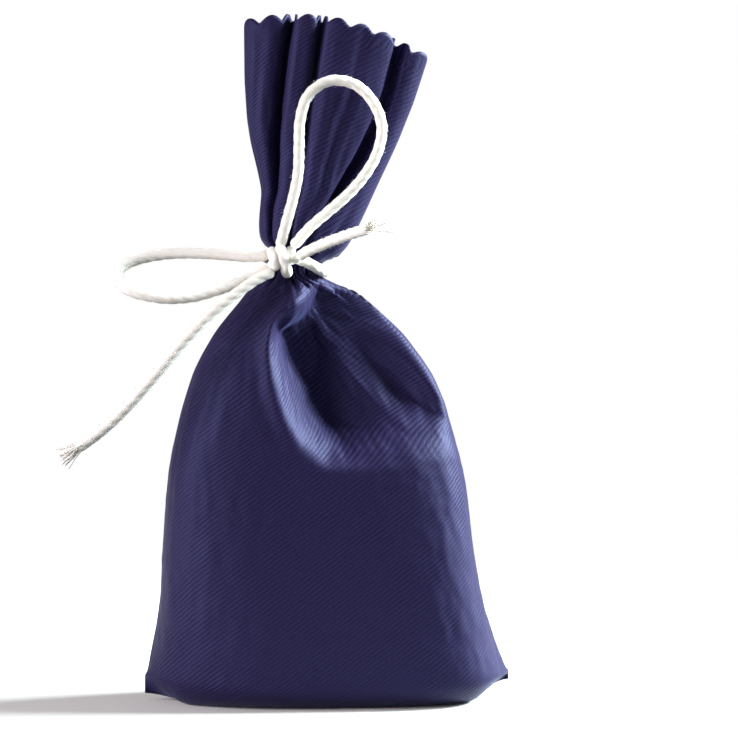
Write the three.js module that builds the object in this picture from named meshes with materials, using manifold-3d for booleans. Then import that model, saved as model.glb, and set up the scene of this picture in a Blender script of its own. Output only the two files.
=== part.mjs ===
// Lavender sachet: a twill bag of two sewn panels, filled with dried lavender.
// Its neck is gathered by one turn of cotton cord, tied at the front in a bow.
// Millimetres, +Z up. The bag stands on z = 0 and its front faces -Y.
import * as THREE from "three";
import { mergeVertices } from "three/addons/utils/BufferGeometryUtils.js";
import Module from "manifold-3d";

// Cloth, thread and fits
const CLOTH_THICKNESS = 0.7;
const THREAD_DIAMETER = 0.5;
const THREAD_SIDES = 5;
const THREAD_CLEARANCE = 0.2;
const CLEARANCE = 0.3; // between pieces that press on each other in the real sachet

// Foot: the flat that the filled bag stands on, and the round edge about it
const BASE_WIDTH = 92; // from corner to corner, along the bottom seam
const BASE_DEPTH = 26;
const TOE_RADIUS = 7;
const LEFT_TIP = 2; // how high the sewn corners are turned up
const RIGHT_TIP = 4.5;

// Body: each width, depth and sideways shift belongs to a height, which is a rise from the one before
const EAR_RISE = 8;
const EAR_WIDTH = 86.4;
const EAR_DEPTH = 41;
const EAR_SHIFT = -0.8;
const BELLY_RISE = 23;
const BELLY_WIDTH = 78.1;
const BELLY_DEPTH = 40;
const BELLY_SHIFT = -2.4;
const CHEST_RISE = 30;
const CHEST_WIDTH = 69.1;
const CHEST_DEPTH = 36;
const CHEST_SHIFT = -3.1;
const SHOULDER_RISE = 19.3;
const SHOULDER_WIDTH = 55.2;
const SHOULDER_DEPTH = 30;
const SHOULDER_SHIFT = -2;
const SLOPE_RISE = 8.4;
const SLOPE_WIDTH = 42.9;
const SLOPE_DEPTH = 25.5;
const SLOPE_SHIFT = -1.5;
const COLLAR_RISE = 7.9;
const COLLAR_WIDTH = 28;
const COLLAR_DEPTH = 18;
const COLLAR_SHIFT = -3.3;
const SQUARE_SHOULDER = 0.62; // how much more sharply the right shoulder turns back than the left
const FLATNESS = 3.2; // of the filled body's front and back: 2 is an ellipse

// Neck: the short waist that the cord holds
const NECK_RISE = 4.15;
const NECK_DIAMETER = 12;
const NECK_BAND = 4;
const NECK_SHIFT = -8.5;
const TIE_LEAN = 13; // degrees that the neck leans to the right

// Head: the frill above the tie. Each rise from the one before has its reach to the left and right, and a depth
const HEAD_LEAN = 9.6; // degrees from upright
const FLARE_RISE = 4;
const FLARE_LEFT = 9.5;
const FLARE_RIGHT = 10.9;
const FLARE_DEPTH = 15;
const WAIST_RISE = 13;
const WAIST_LEFT = 11.4;
const WAIST_RIGHT = 15.6;
const WAIST_DEPTH = 15.5;
const FAN_RISE = 17;
const FAN_LEFT = 17.8;
const FAN_RIGHT = 20.6;
const FAN_DEPTH = 15;
const EDGE_RISE = 22.5;
const EDGE_LEFT = 22.4;
const EDGE_RIGHT = 24.5;
const EDGE_DEPTH = 16;
const HEAD_CROWN = 4.8; // rise of the pinked edge's middle over its ends
const BACK_LAG = 2.4; // how much lower the back panel's edge lies, between the seams
const SCALLOP_PITCH = 7;
const SCALLOP_DEPTH = 2;
const PANEL_WIDTH = 94; // of the cloth laid flat, which sets how many scallops there are

// Gathers: creases run up from the tie, and die out just below it. Each lies at a share of the panel's
// width at the tie, comes out between two scallops, and has a depth there
const NECK_CREASE = 2.4;
const CREASE_REACH = 9;
const DRAWN_REACH = 35; // how far below the tie the cloth is drawn together towards it
const FRONT_CREASES = [
  { tie: 0.2, scallop: 4, depth: 6.6 },
  { tie: 0.38, scallop: 6, depth: 3.4 },
  { tie: 0.54, scallop: 10, depth: 6.6 },
];
const BACK_CREASES = [
  { tie: 0.2, scallop: 2, depth: 4.5 },
  { tie: 0.38, scallop: 4, depth: 6 },
  { tie: 0.5, scallop: 6, depth: 2.4 },
  { tie: 0.62, scallop: 9, depth: 6 },
  { tie: 0.8, scallop: 11, depth: 4.5 },
];

// The slack cloth right of the tie has sunk in. Its edge runs down from the tie and then across to the right
// seam: [right of the neck, below the neck, width of the wall down from the edge]
const SUNK_DEPTH = 10;
const SUNK = [
  [2, 2, 3], [-4, 10, 4.6], [-7.1, 19, 6.4], [-5.7, 31, 7.8], [-1.6, 41.4, 8.4], [6.4, 49.4, 9.4],
  [18, 51.4, 12.6], [32, 50, 14], [40, 48.5, 12],
];
// Hollows in it, and a nose under the knot: [right of the neck, below it, depth, left wall, right wall]
const FOLDS = [
  [[3.4, 12.4, 2.5, 3.4, 4], [1.4, 18.5, 4, 5, 8], [3, 29.5, 3, 7, 11], [8.4, 42.6, 1, 8, 10]],
  [[17, 21, 1.5, 6, 6], [22, 26, 3, 7, 7], [27, 30.6, 3.6, 8, 6.5], [32, 34, 2.4, 8, 5]],
  [[1.8, 3, -2, 3.2, 3.2], [1.4, 6.5, -3.6, 3.2, 3.2], [0.6, 9.8, -3.6, 3.2, 3.2], [-0.8, 12.6, -1.4, 3.2, 3.2]],
];

// Filling
const FILL_CLEARANCE = 0.5;
const FILL_BELOW_SHOULDER = 14.3;
const FILL_CROWN = 3;
const FILL_CORNER = 0.08; // share of a panel's width that the filling keeps off each side seam

// Cord and bow
const CORD_DIAMETER = 2.7;
const CORD_SIDES = 8;
const WRAP_CLIMB = 1.6; // how far the wrap climbs towards the knot
const KNOT_TURN = -22; // degrees round the neck from the middle of the front
const KNOT_RISE = 0.6; // above the middle of the neck
const KNOT_BAND_RADIUS = 2; // of the middle of the strand that goes round the knot
const KNOT_LENGTH = 7;
const KNOT_SLANT = 15; // degrees of the knot's strands above level
const FRAY_YARNS = 7;
const FRAY_LENGTH = 8;
const FRAY_SPREAD = 20; // degrees from the cord's line
const YARN_DIAMETER = 0.8;

// The bow's routes: [right, back, up] from the middle of the knot
const UPPER_LOOP = [
  [-0.8, -0.9, 3.3], [0.8, -1.8, 9.4], [2.5, -2.2, 15.6], [3.7, -2.4, 21.8], [3.9, -2.5, 28.2],
  [4.2, -2.7, 34.6], [6.2, -2.8, 40.6], [11.3, -3, 44.1], [17.5, -3, 43.3], [22.1, -2.8, 39],
  [24.3, -2.6, 33.1], [23.3, -2.5, 26.8], [20.2, -2.4, 21.2], [16.1, -2.2, 16.4], [11.3, -2.1, 12.2],
  [6.5, -1.7, 8], [2.3, -0.9, 3.3],
];
const SIDE_LOOP = [
  [-3.6, 0.2, 1.2], [-8.8, 0.9, 0.9], [-13.9, 1.8, 1.3], [-19.1, 2.6, 1.6], [-24.3, 3.4, 1.7],
  [-29.3, 3.9, 1.4], [-34, 3.7, 0.6], [-37.8, 2.7, -0.6], [-40.2, 1, -2.2], [-41, -0.9, -3.9],
  [-40.2, -2.9, -5.6], [-37.8, -4.7, -7.2], [-34, -5.7, -8.3], [-28.8, -5.9, -9.1], [-22.6, -4.9, -8.8],
  [-17.7, -3.7, -7.6], [-12.8, -2.4, -6.1], [-8, -1.1, -4.3], [-3.6, 0.2, -1.9],
];
const LONG_TAIL = [
  [-2.4, -3.2, -2.6], [-6.5, -4.5, -4.4], [-10.4, -5.4, -7], [-14.2, -6.1, -9.8], [-17.8, -6.4, -12.8],
  [-21.2, -6.6, -16.1], [-24.5, -6.6, -19.5], [-27.6, -6.5, -23.1], [-30.6, -6.3, -26.7], [-33.7, -5.9, -30.3],
  [-36.8, -5.5, -33.8], [-40.1, -5.1, -37.3], [-43.5, -4.8, -40.5], [-47.2, -4.4, -43.5], [-51.1, -4.2, -46.2],
];
const SHORT_TAIL = [
  [3.7, -2.4, 0.8], [5.1, -3.8, 1.9], [6.4, -5.5, 2.7], [7.8, -7.2, 3.4], [9.1, -8.9, 4.1],
  [10.4, -10.7, 4.7], [11.6, -12.5, 5.3], [12.9, -14.4, 5.8], [14.1, -16.2, 6.4], [15.2, -18.1, 6.8],
  [16.4, -20.1, 7.3], [17.4, -22, 7.7], [18.5, -24, 8.1], [19.9, -26.8, 8.7],
];

// Worked out from the driving dimensions
const FRONT = -1;
const BACK = 1;
const SEAM_GAP = THREAD_DIAMETER + 2 * THREAD_CLEARANCE;
const CORD_RADIUS = CORD_DIAMETER / 2;
const WRAP_RADIUS = NECK_DIAMETER / 2 + CLEARANCE + CORD_RADIUS;
const KNOT_REACH = KNOT_BAND_RADIUS + CORD_RADIUS;
const BODY = stationsUp([
  [TOE_RADIUS, { width: BASE_WIDTH - 1, depth: BASE_DEPTH + 2 * TOE_RADIUS, shift: 0, point: 1.2 }],
  [EAR_RISE, { width: EAR_WIDTH, depth: EAR_DEPTH, shift: EAR_SHIFT, point: 1 }],
  [BELLY_RISE, { width: BELLY_WIDTH, depth: BELLY_DEPTH, shift: BELLY_SHIFT, point: 0.68 }],
  [CHEST_RISE, { width: CHEST_WIDTH, depth: CHEST_DEPTH, shift: CHEST_SHIFT, point: 0.64 }],
  [SHOULDER_RISE, { width: SHOULDER_WIDTH, depth: SHOULDER_DEPTH, shift: SHOULDER_SHIFT, point: 0.78 }],
  [SLOPE_RISE, { width: SLOPE_WIDTH, depth: SLOPE_DEPTH, shift: SLOPE_SHIFT, point: 0.88 }],
  [COLLAR_RISE, { width: COLLAR_WIDTH, depth: COLLAR_DEPTH, shift: COLLAR_SHIFT, point: 1 }],
  [NECK_RISE, { width: NECK_DIAMETER, depth: NECK_DIAMETER, shift: NECK_SHIFT, point: 1 }],
]);
const HEAD = stationsUp([
  [NECK_BAND / 2, { left: NECK_DIAMETER / 2, right: NECK_DIAMETER / 2, depth: NECK_DIAMETER }],
  [FLARE_RISE - NECK_BAND / 2, { left: FLARE_LEFT, right: FLARE_RIGHT, depth: FLARE_DEPTH }],
  [WAIST_RISE, { left: WAIST_LEFT, right: WAIST_RIGHT, depth: WAIST_DEPTH }],
  [FAN_RISE, { left: FAN_LEFT, right: FAN_RIGHT, depth: FAN_DEPTH }],
  [EDGE_RISE, { left: EDGE_LEFT, right: EDGE_RIGHT, depth: EDGE_DEPTH }],
]);
const CHEST_HEIGHT = BODY[3].height;
const SHOULDER_HEIGHT = BODY[4].height;
const SLOPE_HEIGHT = BODY[5].height;
const NECK_FOOT = BODY.at(-1).height;
const HEAD_HEIGHT = HEAD.at(-1).height;
const LEAN = THREE.MathUtils.degToRad(TIE_LEAN);
const NECK_CENTRE = new THREE.Vector3(
  NECK_SHIFT + (NECK_BAND / 2) * Math.sin(LEAN),
  0,
  NECK_FOOT + (NECK_BAND / 2) * Math.cos(LEAN),
);
const SCALLOPS = Math.round(PANEL_WIDTH / SCALLOP_PITCH);

const wasm = await Module();
wasm.setup();

// Heights of the stations, each a rise above the one before
function stationsUp(rows) {
  let height = 0;
  return rows.map(([rise, values]) => {
    height += rise;
    return { height, ...values };
  });
}

// One station value at any height, by a cubic that never overshoots its stations
function stationValue(stations, key, height) {
  const slope = (i) => {
    const a = stations[i];
    const b = stations[i + 1];
    return (b[key] - a[key]) / (b.height - a.height);
  };
  const tangent = (i) => {
    if (i === 0) return slope(0);
    if (i === stations.length - 1) return slope(i - 1);
    const product = slope(i - 1) * slope(i);
    return product > 0 ? (2 * product) / (slope(i - 1) + slope(i)) : 0;
  };
  const last = stations.length - 2;
  const i = Math.min(last, Math.max(0, stations.findIndex((s) => s.height > height) - 1));
  const at = height >= stations.at(-1).height ? last : i;
  const a = stations[at];
  const b = stations[at + 1];
  const span = b.height - a.height;
  const t = THREE.MathUtils.clamp((height - a.height) / span, 0, 1);
  const start = (1 + 2 * t) * (1 - t) ** 2 * a[key] + t * (1 - t) ** 2 * span * tangent(at);
  const end = t * t * (3 - 2 * t) * b[key] + t * t * (t - 1) * span * tangent(at + 1);
  return start + end;
}

// Rows of the loft, from the bottom seam up. Each has a kind, and how many columns the panels have there.
function loftRows() {
  const rows = [];
  const footRows = 5;
  const underRows = 2;
  const few = 2 * Math.ceil(SCALLOPS / 2);
  for (let k = 0; k <= footRows; k++) {
    const turn = (Math.max(0, k - underRows) / (footRows - underRows)) * (Math.PI / 2);
    const flat = (Math.min(k, underRows) / underRows) * (BASE_DEPTH / 2);
    rows.push({
      kind: "foot",
      height: TOE_RADIUS * (1 - Math.cos(turn)),
      share: k / footRows,
      depth: flat + TOE_RADIUS * Math.sin(turn),
      columns: few,
      backColumns: few,
    });
  }
  const bodyRows = 20;
  for (let k = 1; k <= bodyRows; k++) {
    const share = 1 - (1 - k / bodyRows) ** 1.3;
    const height = TOE_RADIUS + share * (NECK_FOOT - TOE_RADIUS);
    const columns = k < 4 ? few : k < 7 ? 2 * SCALLOPS : 3 * SCALLOPS;
    rows.push({ kind: "body", height, columns, backColumns: k < 8 ? few : 2 * SCALLOPS });
  }
  const headRows = 8;
  const top = HEAD_HEIGHT - SCALLOP_DEPTH - 1;
  for (let k = 0; k <= headRows; k++) {
    const height = NECK_BAND / 2 + (top - NECK_BAND / 2) * (k / headRows) ** 1.25;
    const columns = k < headRows ? 3 * SCALLOPS : 4 * SCALLOPS;
    rows.push({ kind: "head", height, columns, backColumns: k < headRows ? 2 * SCALLOPS : 4 * SCALLOPS });
  }
  rows.push({ kind: "edge", height: HEAD_HEIGHT, columns: 4 * SCALLOPS, backColumns: 4 * SCALLOPS });
  return rows;
}
const ROWS = loftRows();

// How far a row is drawn together towards the tie: 0 low on the body, 1 at the tie
function drawnShare(row) {
  if (row.kind === "foot") return 0;
  if (row.kind === "body") return THREE.MathUtils.smoothstep(row.height, NECK_FOOT - DRAWN_REACH, NECK_FOOT);
  return 1 - Math.sin((Math.PI / 2) * (row.height / HEAD_HEIGHT));
}

// The creases of a panel on a row: their place in the cloth, their share of the row, and their depth
function creasesOn(row, side) {
  const creases = side === FRONT ? FRONT_CREASES : BACK_CREASES;
  const drawn = drawnShare(row);
  return creases.map(({ tie, scallop, depth }) => {
    const cloth = scallop / SCALLOPS;
    const head = row.kind === "head" || row.kind === "edge";
    const below = THREE.MathUtils.smoothstep(row.height, NECK_FOOT - CREASE_REACH, NECK_FOOT);
    const deep = head ? THREE.MathUtils.lerp(NECK_CREASE, depth, row.height / HEAD_HEIGHT) : NECK_CREASE * below;
    return { cloth, share: THREE.MathUtils.lerp(cloth, tie, drawn), depth: row.kind === "foot" ? 0 : deep };
  });
}

// A place in the cloth, from 0 at the left seam to 1 at the right, between two creases: its share of the row,
// how far it lies from one crease to the next, and how deep they are there
function placeOn(row, cloth, side) {
  const ends = [{ cloth: 0, share: 0, depth: 0 }, ...creasesOn(row, side), { cloth: 1, share: 1, depth: 0 }];
  const after = Math.max(1, ends.findIndex((e) => e.cloth >= cloth - 1e-9));
  const a = ends[after - 1];
  const b = ends[after];
  const t = THREE.MathUtils.clamp((cloth - a.cloth) / (b.cloth - a.cloth), 0, 1);
  return { share: THREE.MathUtils.lerp(a.share, b.share, t), t, before: a, next: b };
}

// From across -1 at the left seam to 1 at the right seam, on the plain loft with no folds
function loftPoint(row, share, side, lobe = 1) {
  const across = -Math.cos(Math.PI * share);
  const round = (flat) => Math.max(0, 1 - Math.abs(across) ** flat);
  const bulge = (depth, power, flat) =>
    (side * (SEAM_GAP + Math.max(0, depth - SEAM_GAP) * round(flat) ** power)) / 2;
  if (row.kind === "foot") {
    const ramp = THREE.MathUtils.smoothstep(Math.abs(across), 0.75, 1);
    const tip = across < 0 ? LEFT_TIP : RIGHT_TIP;
    return new THREE.Vector3(
      (BASE_WIDTH / 2) * across,
      bulge(2 * row.depth, THREE.MathUtils.lerp(0.85, 0.6, row.share), THREE.MathUtils.lerp(2, FLATNESS, row.share)),
      THREE.MathUtils.lerp(row.height, THREE.MathUtils.lerp(tip, TOE_RADIUS, row.share), ramp),
    );
  }
  if (row.kind === "body") {
    const tilt = LEAN * THREE.MathUtils.smoothstep(row.height, CHEST_HEIGHT, NECK_FOOT);
    const out = (stationValue(BODY, "width", row.height) / 2) * across;
    const rising = THREE.MathUtils.smoothstep(row.height, CHEST_HEIGHT - TOE_RADIUS, SHOULDER_HEIGHT);
    const square = SQUARE_SHOULDER * rising * (1 - THREE.MathUtils.smoothstep(row.height, SLOPE_HEIGHT, NECK_FOOT));
    const turn = side === FRONT && across > 0 ? 1 - square : 1;
    const flat = THREE.MathUtils.lerp(FLATNESS, 2, rising);
    return new THREE.Vector3(
      stationValue(BODY, "shift", row.height) + out * Math.cos(tilt),
      bulge(stationValue(BODY, "depth", row.height), (turn * stationValue(BODY, "point", row.height)) / 2, flat),
      row.height - out * Math.sin(tilt),
    );
  }
  const height = row.height - SCALLOP_DEPTH * (1 - lobe);
  const climb = height / HEAD_HEIGHT;
  const sag = side === BACK ? BACK_LAG * Math.sqrt(round(2)) : 0;
  const left = stationValue(HEAD, "left", height);
  const right = stationValue(HEAD, "right", height);
  const local = new THREE.Vector3(
    THREE.MathUtils.lerp(-left, right, (across + 1) / 2),
    bulge(stationValue(HEAD, "depth", height), 0.45, 2),
    height + climb * (HEAD_CROWN * round(2) - sag),
  );
  const settle = THREE.MathUtils.smoothstep(height, NECK_BAND / 2, NECK_BAND / 2 + WAIST_RISE);
  const lean = THREE.MathUtils.lerp(LEAN, THREE.MathUtils.degToRad(HEAD_LEAN), settle);
  return local.applyAxisAngle(new THREE.Vector3(0, 1, 0), lean).add(NECK_CENTRE);
}

// Outward direction of the plain loft
function loftNormal(index, share, side) {
  const step = 0.01;
  const along = (i, s) => loftPoint(ROWS[THREE.MathUtils.clamp(i, 0, ROWS.length - 1)], s, side);
  const right = along(index, Math.min(1, share + step)).sub(along(index, Math.max(0, share - step)));
  const up = along(index + 1, share).sub(along(index - 1, share));
  return right.cross(up).multiplyScalar(-side).normalize();
}

// The pleats stand out between sharp creases, and the seams lie on the tops of pleats
function pleatHeight({ t, before, next }) {
  if (before.cloth === 0) return next.depth * (Math.sin((Math.PI / 2) * (1 - t)) ** 0.35 - 1);
  if (next.cloth === 1) return before.depth * (Math.sin((Math.PI / 2) * t) ** 0.35 - 1);
  return THREE.MathUtils.lerp(before.depth, next.depth, t) * (Math.sin(Math.PI * t) ** 0.35 - 1);
}

// A line in fine steps, each with its place, its course and the other values of its rows
function fineLine(rows) {
  const steps = 36;
  const course = new THREE.SplineCurve(rows.map(([right, below]) => new THREE.Vector2(right, below)));
  return Array.from({ length: steps + 1 }, (_, i) => {
    const along = (i / steps) * (rows.length - 1);
    const k = Math.min(rows.length - 2, Math.floor(along));
    const values = rows[k].slice(2).map((v, n) => THREE.MathUtils.lerp(v, rows[k + 1][n + 2], along - k));
    return { place: course.getPoint(i / steps), way: course.getTangent(i / steps), values };
  });
}
const SUNK_LINE = fineLine(SUNK);
const FOLD_LINES = FOLDS.map(fineLine);

// The nearest step of a line, how far the point lies from it, and on which side
function nearOn(line, at) {
  const near = line.reduce((best, step) => (step.place.distanceTo(at) < best.place.distanceTo(at) ? step : best));
  const off = near.place.distanceTo(at);
  const left = near.way.clone().cross(at.clone().sub(near.place)) > 0;
  return { off, left, values: near.values };
}

// The slack folds of the front: the sunk part behind its edge, two hollows in it, and a nose under the knot
function foldHeight(point) {
  const at = new THREE.Vector2(point.x - NECK_CENTRE.x, NECK_CENTRE.z - point.z);
  const edge = nearOn(SUNK_LINE, at);
  const inside = edge.left ? 0 : Math.min(1, edge.off / edge.values[0]);
  const slack = THREE.MathUtils.smoothstep(at.y, 3, 16) * (1 - 0.3 * THREE.MathUtils.smoothstep(at.x, 8, 38));
  let sum = -SUNK_DEPTH * slack * inside ** 1.3;
  for (const line of FOLD_LINES) {
    const { off, left, values } = nearOn(line, at);
    const u = Math.min(1, off / values[left ? 1 : 2]);
    sum -= values[0] * (1 - u * u) ** 2;
  }
  return sum;
}

// A point of the cloth: depth 0 is its outer face, and more lies further in
function clothPoint(index, cloth, side, depth) {
  const row = ROWS[index];
  const place = placeOn(row, cloth, side);
  const lobe = row.kind === "edge" ? Math.abs(Math.sin(Math.PI * SCALLOPS * cloth)) : 1;
  const plain = loftPoint(row, place.share, side, lobe);
  const seamward = Math.sin(Math.PI * place.share) ** 0.35;
  const fold = side === FRONT && row.kind === "body" ? foldHeight(plain) * seamward : 0;
  const least = Math.min(Math.abs(plain.y), SEAM_GAP / 2 + CLOTH_THICKNESS - depth);
  const normal = loftNormal(index, place.share, side);
  const point = plain.addScaledVector(normal, pleatHeight(place) + fold - depth);
  point.y = side * Math.max(least, side * point.y);
  return point;
}

// Triangles between two rows of points that need not have as many points
function zip(lower, upper, faces) {
  let i = 0;
  let j = 0;
  while (i < lower.length - 1 || j < upper.length - 1) {
    const low = i < lower.length - 1 ? (i + 1) / (lower.length - 1) : Infinity;
    const high = j < upper.length - 1 ? (j + 1) / (upper.length - 1) : Infinity;
    if (low <= high) faces.push([lower[i], lower[++i], upper[j]]);
    else faces.push([lower[i], upper[j + 1], upper[j++]]);
  }
}

function geometryOf(points, faces) {
  const geometry = new THREE.BufferGeometry();
  geometry.setFromPoints(points);
  geometry.setIndex(faces.flat());
  return geometry;
}

// One cloth panel: an outer and an inner skin joined by the rim along the seams and the pinked edge
function panelGeometry(side) {
  const points = [];
  const faces = [];
  const add = (point) => points.push(point) - 1;
  const skin = (depth) =>
    ROWS.map((row, index) => {
      const columns = side === FRONT ? row.columns : row.backColumns;
      return Array.from({ length: columns + 1 }, (_, c) => add(clothPoint(index, c / columns, side, depth)));
    });
  const outer = skin(0);
  const inner = skin(CLOTH_THICKNESS);
  for (let r = 0; r < ROWS.length - 1; r++) {
    zip(outer[r], outer[r + 1], faces);
    const back = [];
    zip(inner[r], inner[r + 1], back);
    faces.push(...back.map(([a, b, c]) => [a, c, b]));
  }
  const rim = [...outer[0], ...outer.slice(1, -1).map((r) => r.at(-1)), ...outer.at(-1).toReversed()];
  const lining = [...inner[0], ...inner.slice(1, -1).map((r) => r.at(-1)), ...inner.at(-1).toReversed()];
  rim.push(...outer.slice(1, -1).map((r) => r[0]).toReversed());
  lining.push(...inner.slice(1, -1).map((r) => r[0]).toReversed());
  for (let i = 0; i < rim.length; i++) {
    const next = (i + 1) % rim.length;
    faces.push([rim[i], lining[next], rim[next]], [rim[i], lining[i], lining[next]]);
  }
  const turned = side === FRONT ? faces : faces.map(([a, b, c]) => [a, c, b]);
  return geometryOf(points, turned);
}

// The filling lies against the inside of both panels, and is heaped at the top
function fillGeometry() {
  const points = [];
  const faces = [];
  const inset = CLOTH_THICKNESS + FILL_CLEARANCE;
  const top = SHOULDER_HEIGHT - FILL_BELOW_SHOULDER;
  const add = (index, share, side) => {
    const point = clothPoint(index, share, side, inset);
    point.z = Math.max(inset, point.z);
    return points.push(point) - 1;
  };
  const loops = [];
  ROWS.forEach((row, index) => {
    if (row.kind === "head" || row.kind === "edge" || row.share <= 0.5 || row.height > top) return;
    const shares = Array.from({ length: row.columns + 1 }, (_, c) => c / row.columns);
    const filled = shares.filter((s) => s > FILL_CORNER && s < 1 - FILL_CORNER);
    const front = filled.map((s) => add(index, s, FRONT));
    const back = filled.toReversed().map((s) => add(index, s, BACK));
    loops.push([...front, ...back, front[0]]);
  });
  for (let r = 0; r < loops.length - 1; r++) zip(loops[r], loops[r + 1], faces);
  const middle = (loop, height) => {
    const sum = loop.slice(1).reduce((total, i) => total.add(points[i]), new THREE.Vector3());
    return points.push(sum.divideScalar(loop.length - 1).setZ(height)) - 1;
  };
  const foot = middle(loops[0], inset);
  const crown = middle(loops.at(-1), top + FILL_CROWN);
  for (let i = 0; i < loops[0].length - 1; i++) faces.push([foot, loops[0][i + 1], loops[0][i]]);
  for (let i = 0; i < loops.at(-1).length - 1; i++) faces.push([crown, loops.at(-1)[i], loops.at(-1)[i + 1]]);
  return geometryOf(points, faces);
}

// A round section for tubes
function roundSection(radius, sides) {
  const corners = Array.from({ length: sides }, (_, i) => {
    const angle = (2 * Math.PI * i) / sides;
    return new THREE.Vector2(radius * Math.cos(angle), radius * Math.sin(angle));
  });
  return new THREE.Shape(corners);
}

function tubeGeometry(curve, radius, sides, steps) {
  const shape = roundSection(radius, sides);
  return new THREE.ExtrudeGeometry(shape, { steps, extrudePath: curve, bevelEnabled: false, curveSegments: 1 });
}

function curveThrough(points) {
  const places = points.map((p) => (p.isVector3 ? p : new THREE.Vector3(...p)));
  return new THREE.CatmullRomCurve3(places, false, "centripetal");
}

// A geometry as a solid that can be joined and cut, and back
function solidOf(geometry) {
  const bare = new THREE.BufferGeometry().setAttribute("position", geometry.getAttribute("position"));
  if (geometry.index) bare.setIndex(geometry.index);
  const merged = mergeVertices(bare, 1e-4);
  const vertProperties = new Float32Array(merged.getAttribute("position").array);
  return new wasm.Manifold(new wasm.Mesh({ numProp: 3, vertProperties, triVerts: new Uint32Array(merged.index.array) }));
}

function geometryFrom(solid) {
  const mesh = solid.getMesh();
  const geometry = new THREE.BufferGeometry();
  geometry.setAttribute("position", new THREE.BufferAttribute(new Float32Array(mesh.vertProperties), 3));
  geometry.setIndex(new THREE.BufferAttribute(new Uint32Array(mesh.triVerts), 1));
  return geometry;
}

function ball(centre, radius) {
  return solidOf(new THREE.SphereGeometry(radius, CORD_SIDES, 6).translate(centre.x, centre.y, centre.z));
}

// A stretch of cord, with a rounded end wherever it goes into the knot
function cordSolid(route, roundEnds) {
  const curve = curveThrough(route);
  const steps = Math.ceil(curve.getLength() / (2 * CORD_DIAMETER));
  let solid = solidOf(tubeGeometry(curve, CORD_RADIUS, CORD_SIDES, steps));
  for (const end of roundEnds) solid = solid.add(ball(curve.getPoint(end), CORD_RADIUS));
  return solid;
}

// The yarns of a cut end, which fan out from the cord's line
function frayedEnd(route) {
  const curve = curveThrough(route);
  const tip = curve.getPoint(1);
  const turn = new THREE.Quaternion().setFromUnitVectors(new THREE.Vector3(0, 0, 1), curve.getTangent(1));
  let yarns = null;
  for (let i = 0; i < FRAY_YARNS; i++) {
    const ring = i === 0 ? 0 : 1;
    const around = (2 * Math.PI * i) / (FRAY_YARNS - 1);
    const spread = ring * THREE.MathUtils.degToRad(FRAY_SPREAD);
    const root = ring * (CORD_RADIUS - YARN_DIAMETER / 2);
    const line = [-0.3, 0.4, 1].map((share) => {
      const out = root + Math.max(0, share) ** 1.5 * FRAY_LENGTH * Math.sin(spread);
      const local = new THREE.Vector3(out * Math.cos(around), out * Math.sin(around), share * FRAY_LENGTH);
      return local.applyQuaternion(turn).add(tip);
    });
    const yarn = solidOf(tubeGeometry(curveThrough(line), YARN_DIAMETER / 2, 5, 3));
    yarns = yarns ? yarns.add(yarn) : yarn;
  }
  return yarns;
}

// The turn of cord round the neck, from one side of the knot to the other
function wrapGeometry() {
  const knot = THREE.MathUtils.degToRad(KNOT_TURN);
  const clear = (KNOT_REACH + CLEARANCE + CORD_RADIUS / 2) / WRAP_RADIUS;
  const steps = 28;
  const points = Array.from({ length: steps + 1 }, (_, i) => {
    const turn = clear + (2 * Math.PI - 2 * clear) * (i / steps);
    const apart = Math.min(turn, 2 * Math.PI - turn);
    const climb = WRAP_CLIMB * (1 - THREE.MathUtils.smoothstep(apart, 0.44, Math.PI / 2));
    return new THREE.Vector3(WRAP_RADIUS * Math.sin(knot + turn), -WRAP_RADIUS * Math.cos(knot + turn), climb);
  });
  return tubeGeometry(curveThrough(points), CORD_RADIUS, CORD_SIDES, steps);
}

// The knot: a strand round two others that lie side by side, with hollows where the bow's ends go in
function knotGeometry(exits) {
  const strand = KNOT_LENGTH / 2 - CORD_RADIUS;
  const aside = CORD_RADIUS * 0.75;
  const pair = [-aside, aside].map((y) =>
    new THREE.CapsuleGeometry(CORD_RADIUS, 2 * strand, 3, CORD_SIDES).rotateZ(-Math.PI / 2).translate(0, y, 0),
  );
  const band = new THREE.TorusGeometry(KNOT_BAND_RADIUS, CORD_RADIUS, CORD_SIDES, 16).rotateY(Math.PI / 2);
  const foot = new THREE.CapsuleGeometry(CORD_RADIUS, strand, 3, CORD_SIDES).rotateZ(Math.PI / 2);
  const slant = THREE.MathUtils.degToRad(KNOT_SLANT);
  const turned = [...pair, band].map((geometry) => solidOf(geometry.rotateY(-slant)));
  let knot = turned.reduce((all, one) => all.add(one));
  knot = knot.add(solidOf(foot.translate(-strand / 2, 0, 0)));
  for (const exit of exits) knot = knot.subtract(ball(new THREE.Vector3(...exit), CORD_RADIUS + CLEARANCE));
  return geometryFrom(knot);
}

// A seam's thread lies between the edges of the two panels
function seamCurve(indices, share) {
  const points = indices.map((index) => {
    const outer = clothPoint(index, share, FRONT, 0);
    const inner = clothPoint(index, share, FRONT, CLOTH_THICKNESS);
    const middle = outer.add(inner).multiplyScalar(0.5);
    return middle.setY(0);
  });
  return curveThrough(points);
}

function sideSeamGeometry(share) {
  const indices = ROWS.map((_, index) => index).filter((index) => index > 1 && index < ROWS.length - 1);
  return tubeGeometry(seamCurve(indices, share), THREAD_DIAMETER / 2, THREAD_SIDES, indices.length);
}

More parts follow.
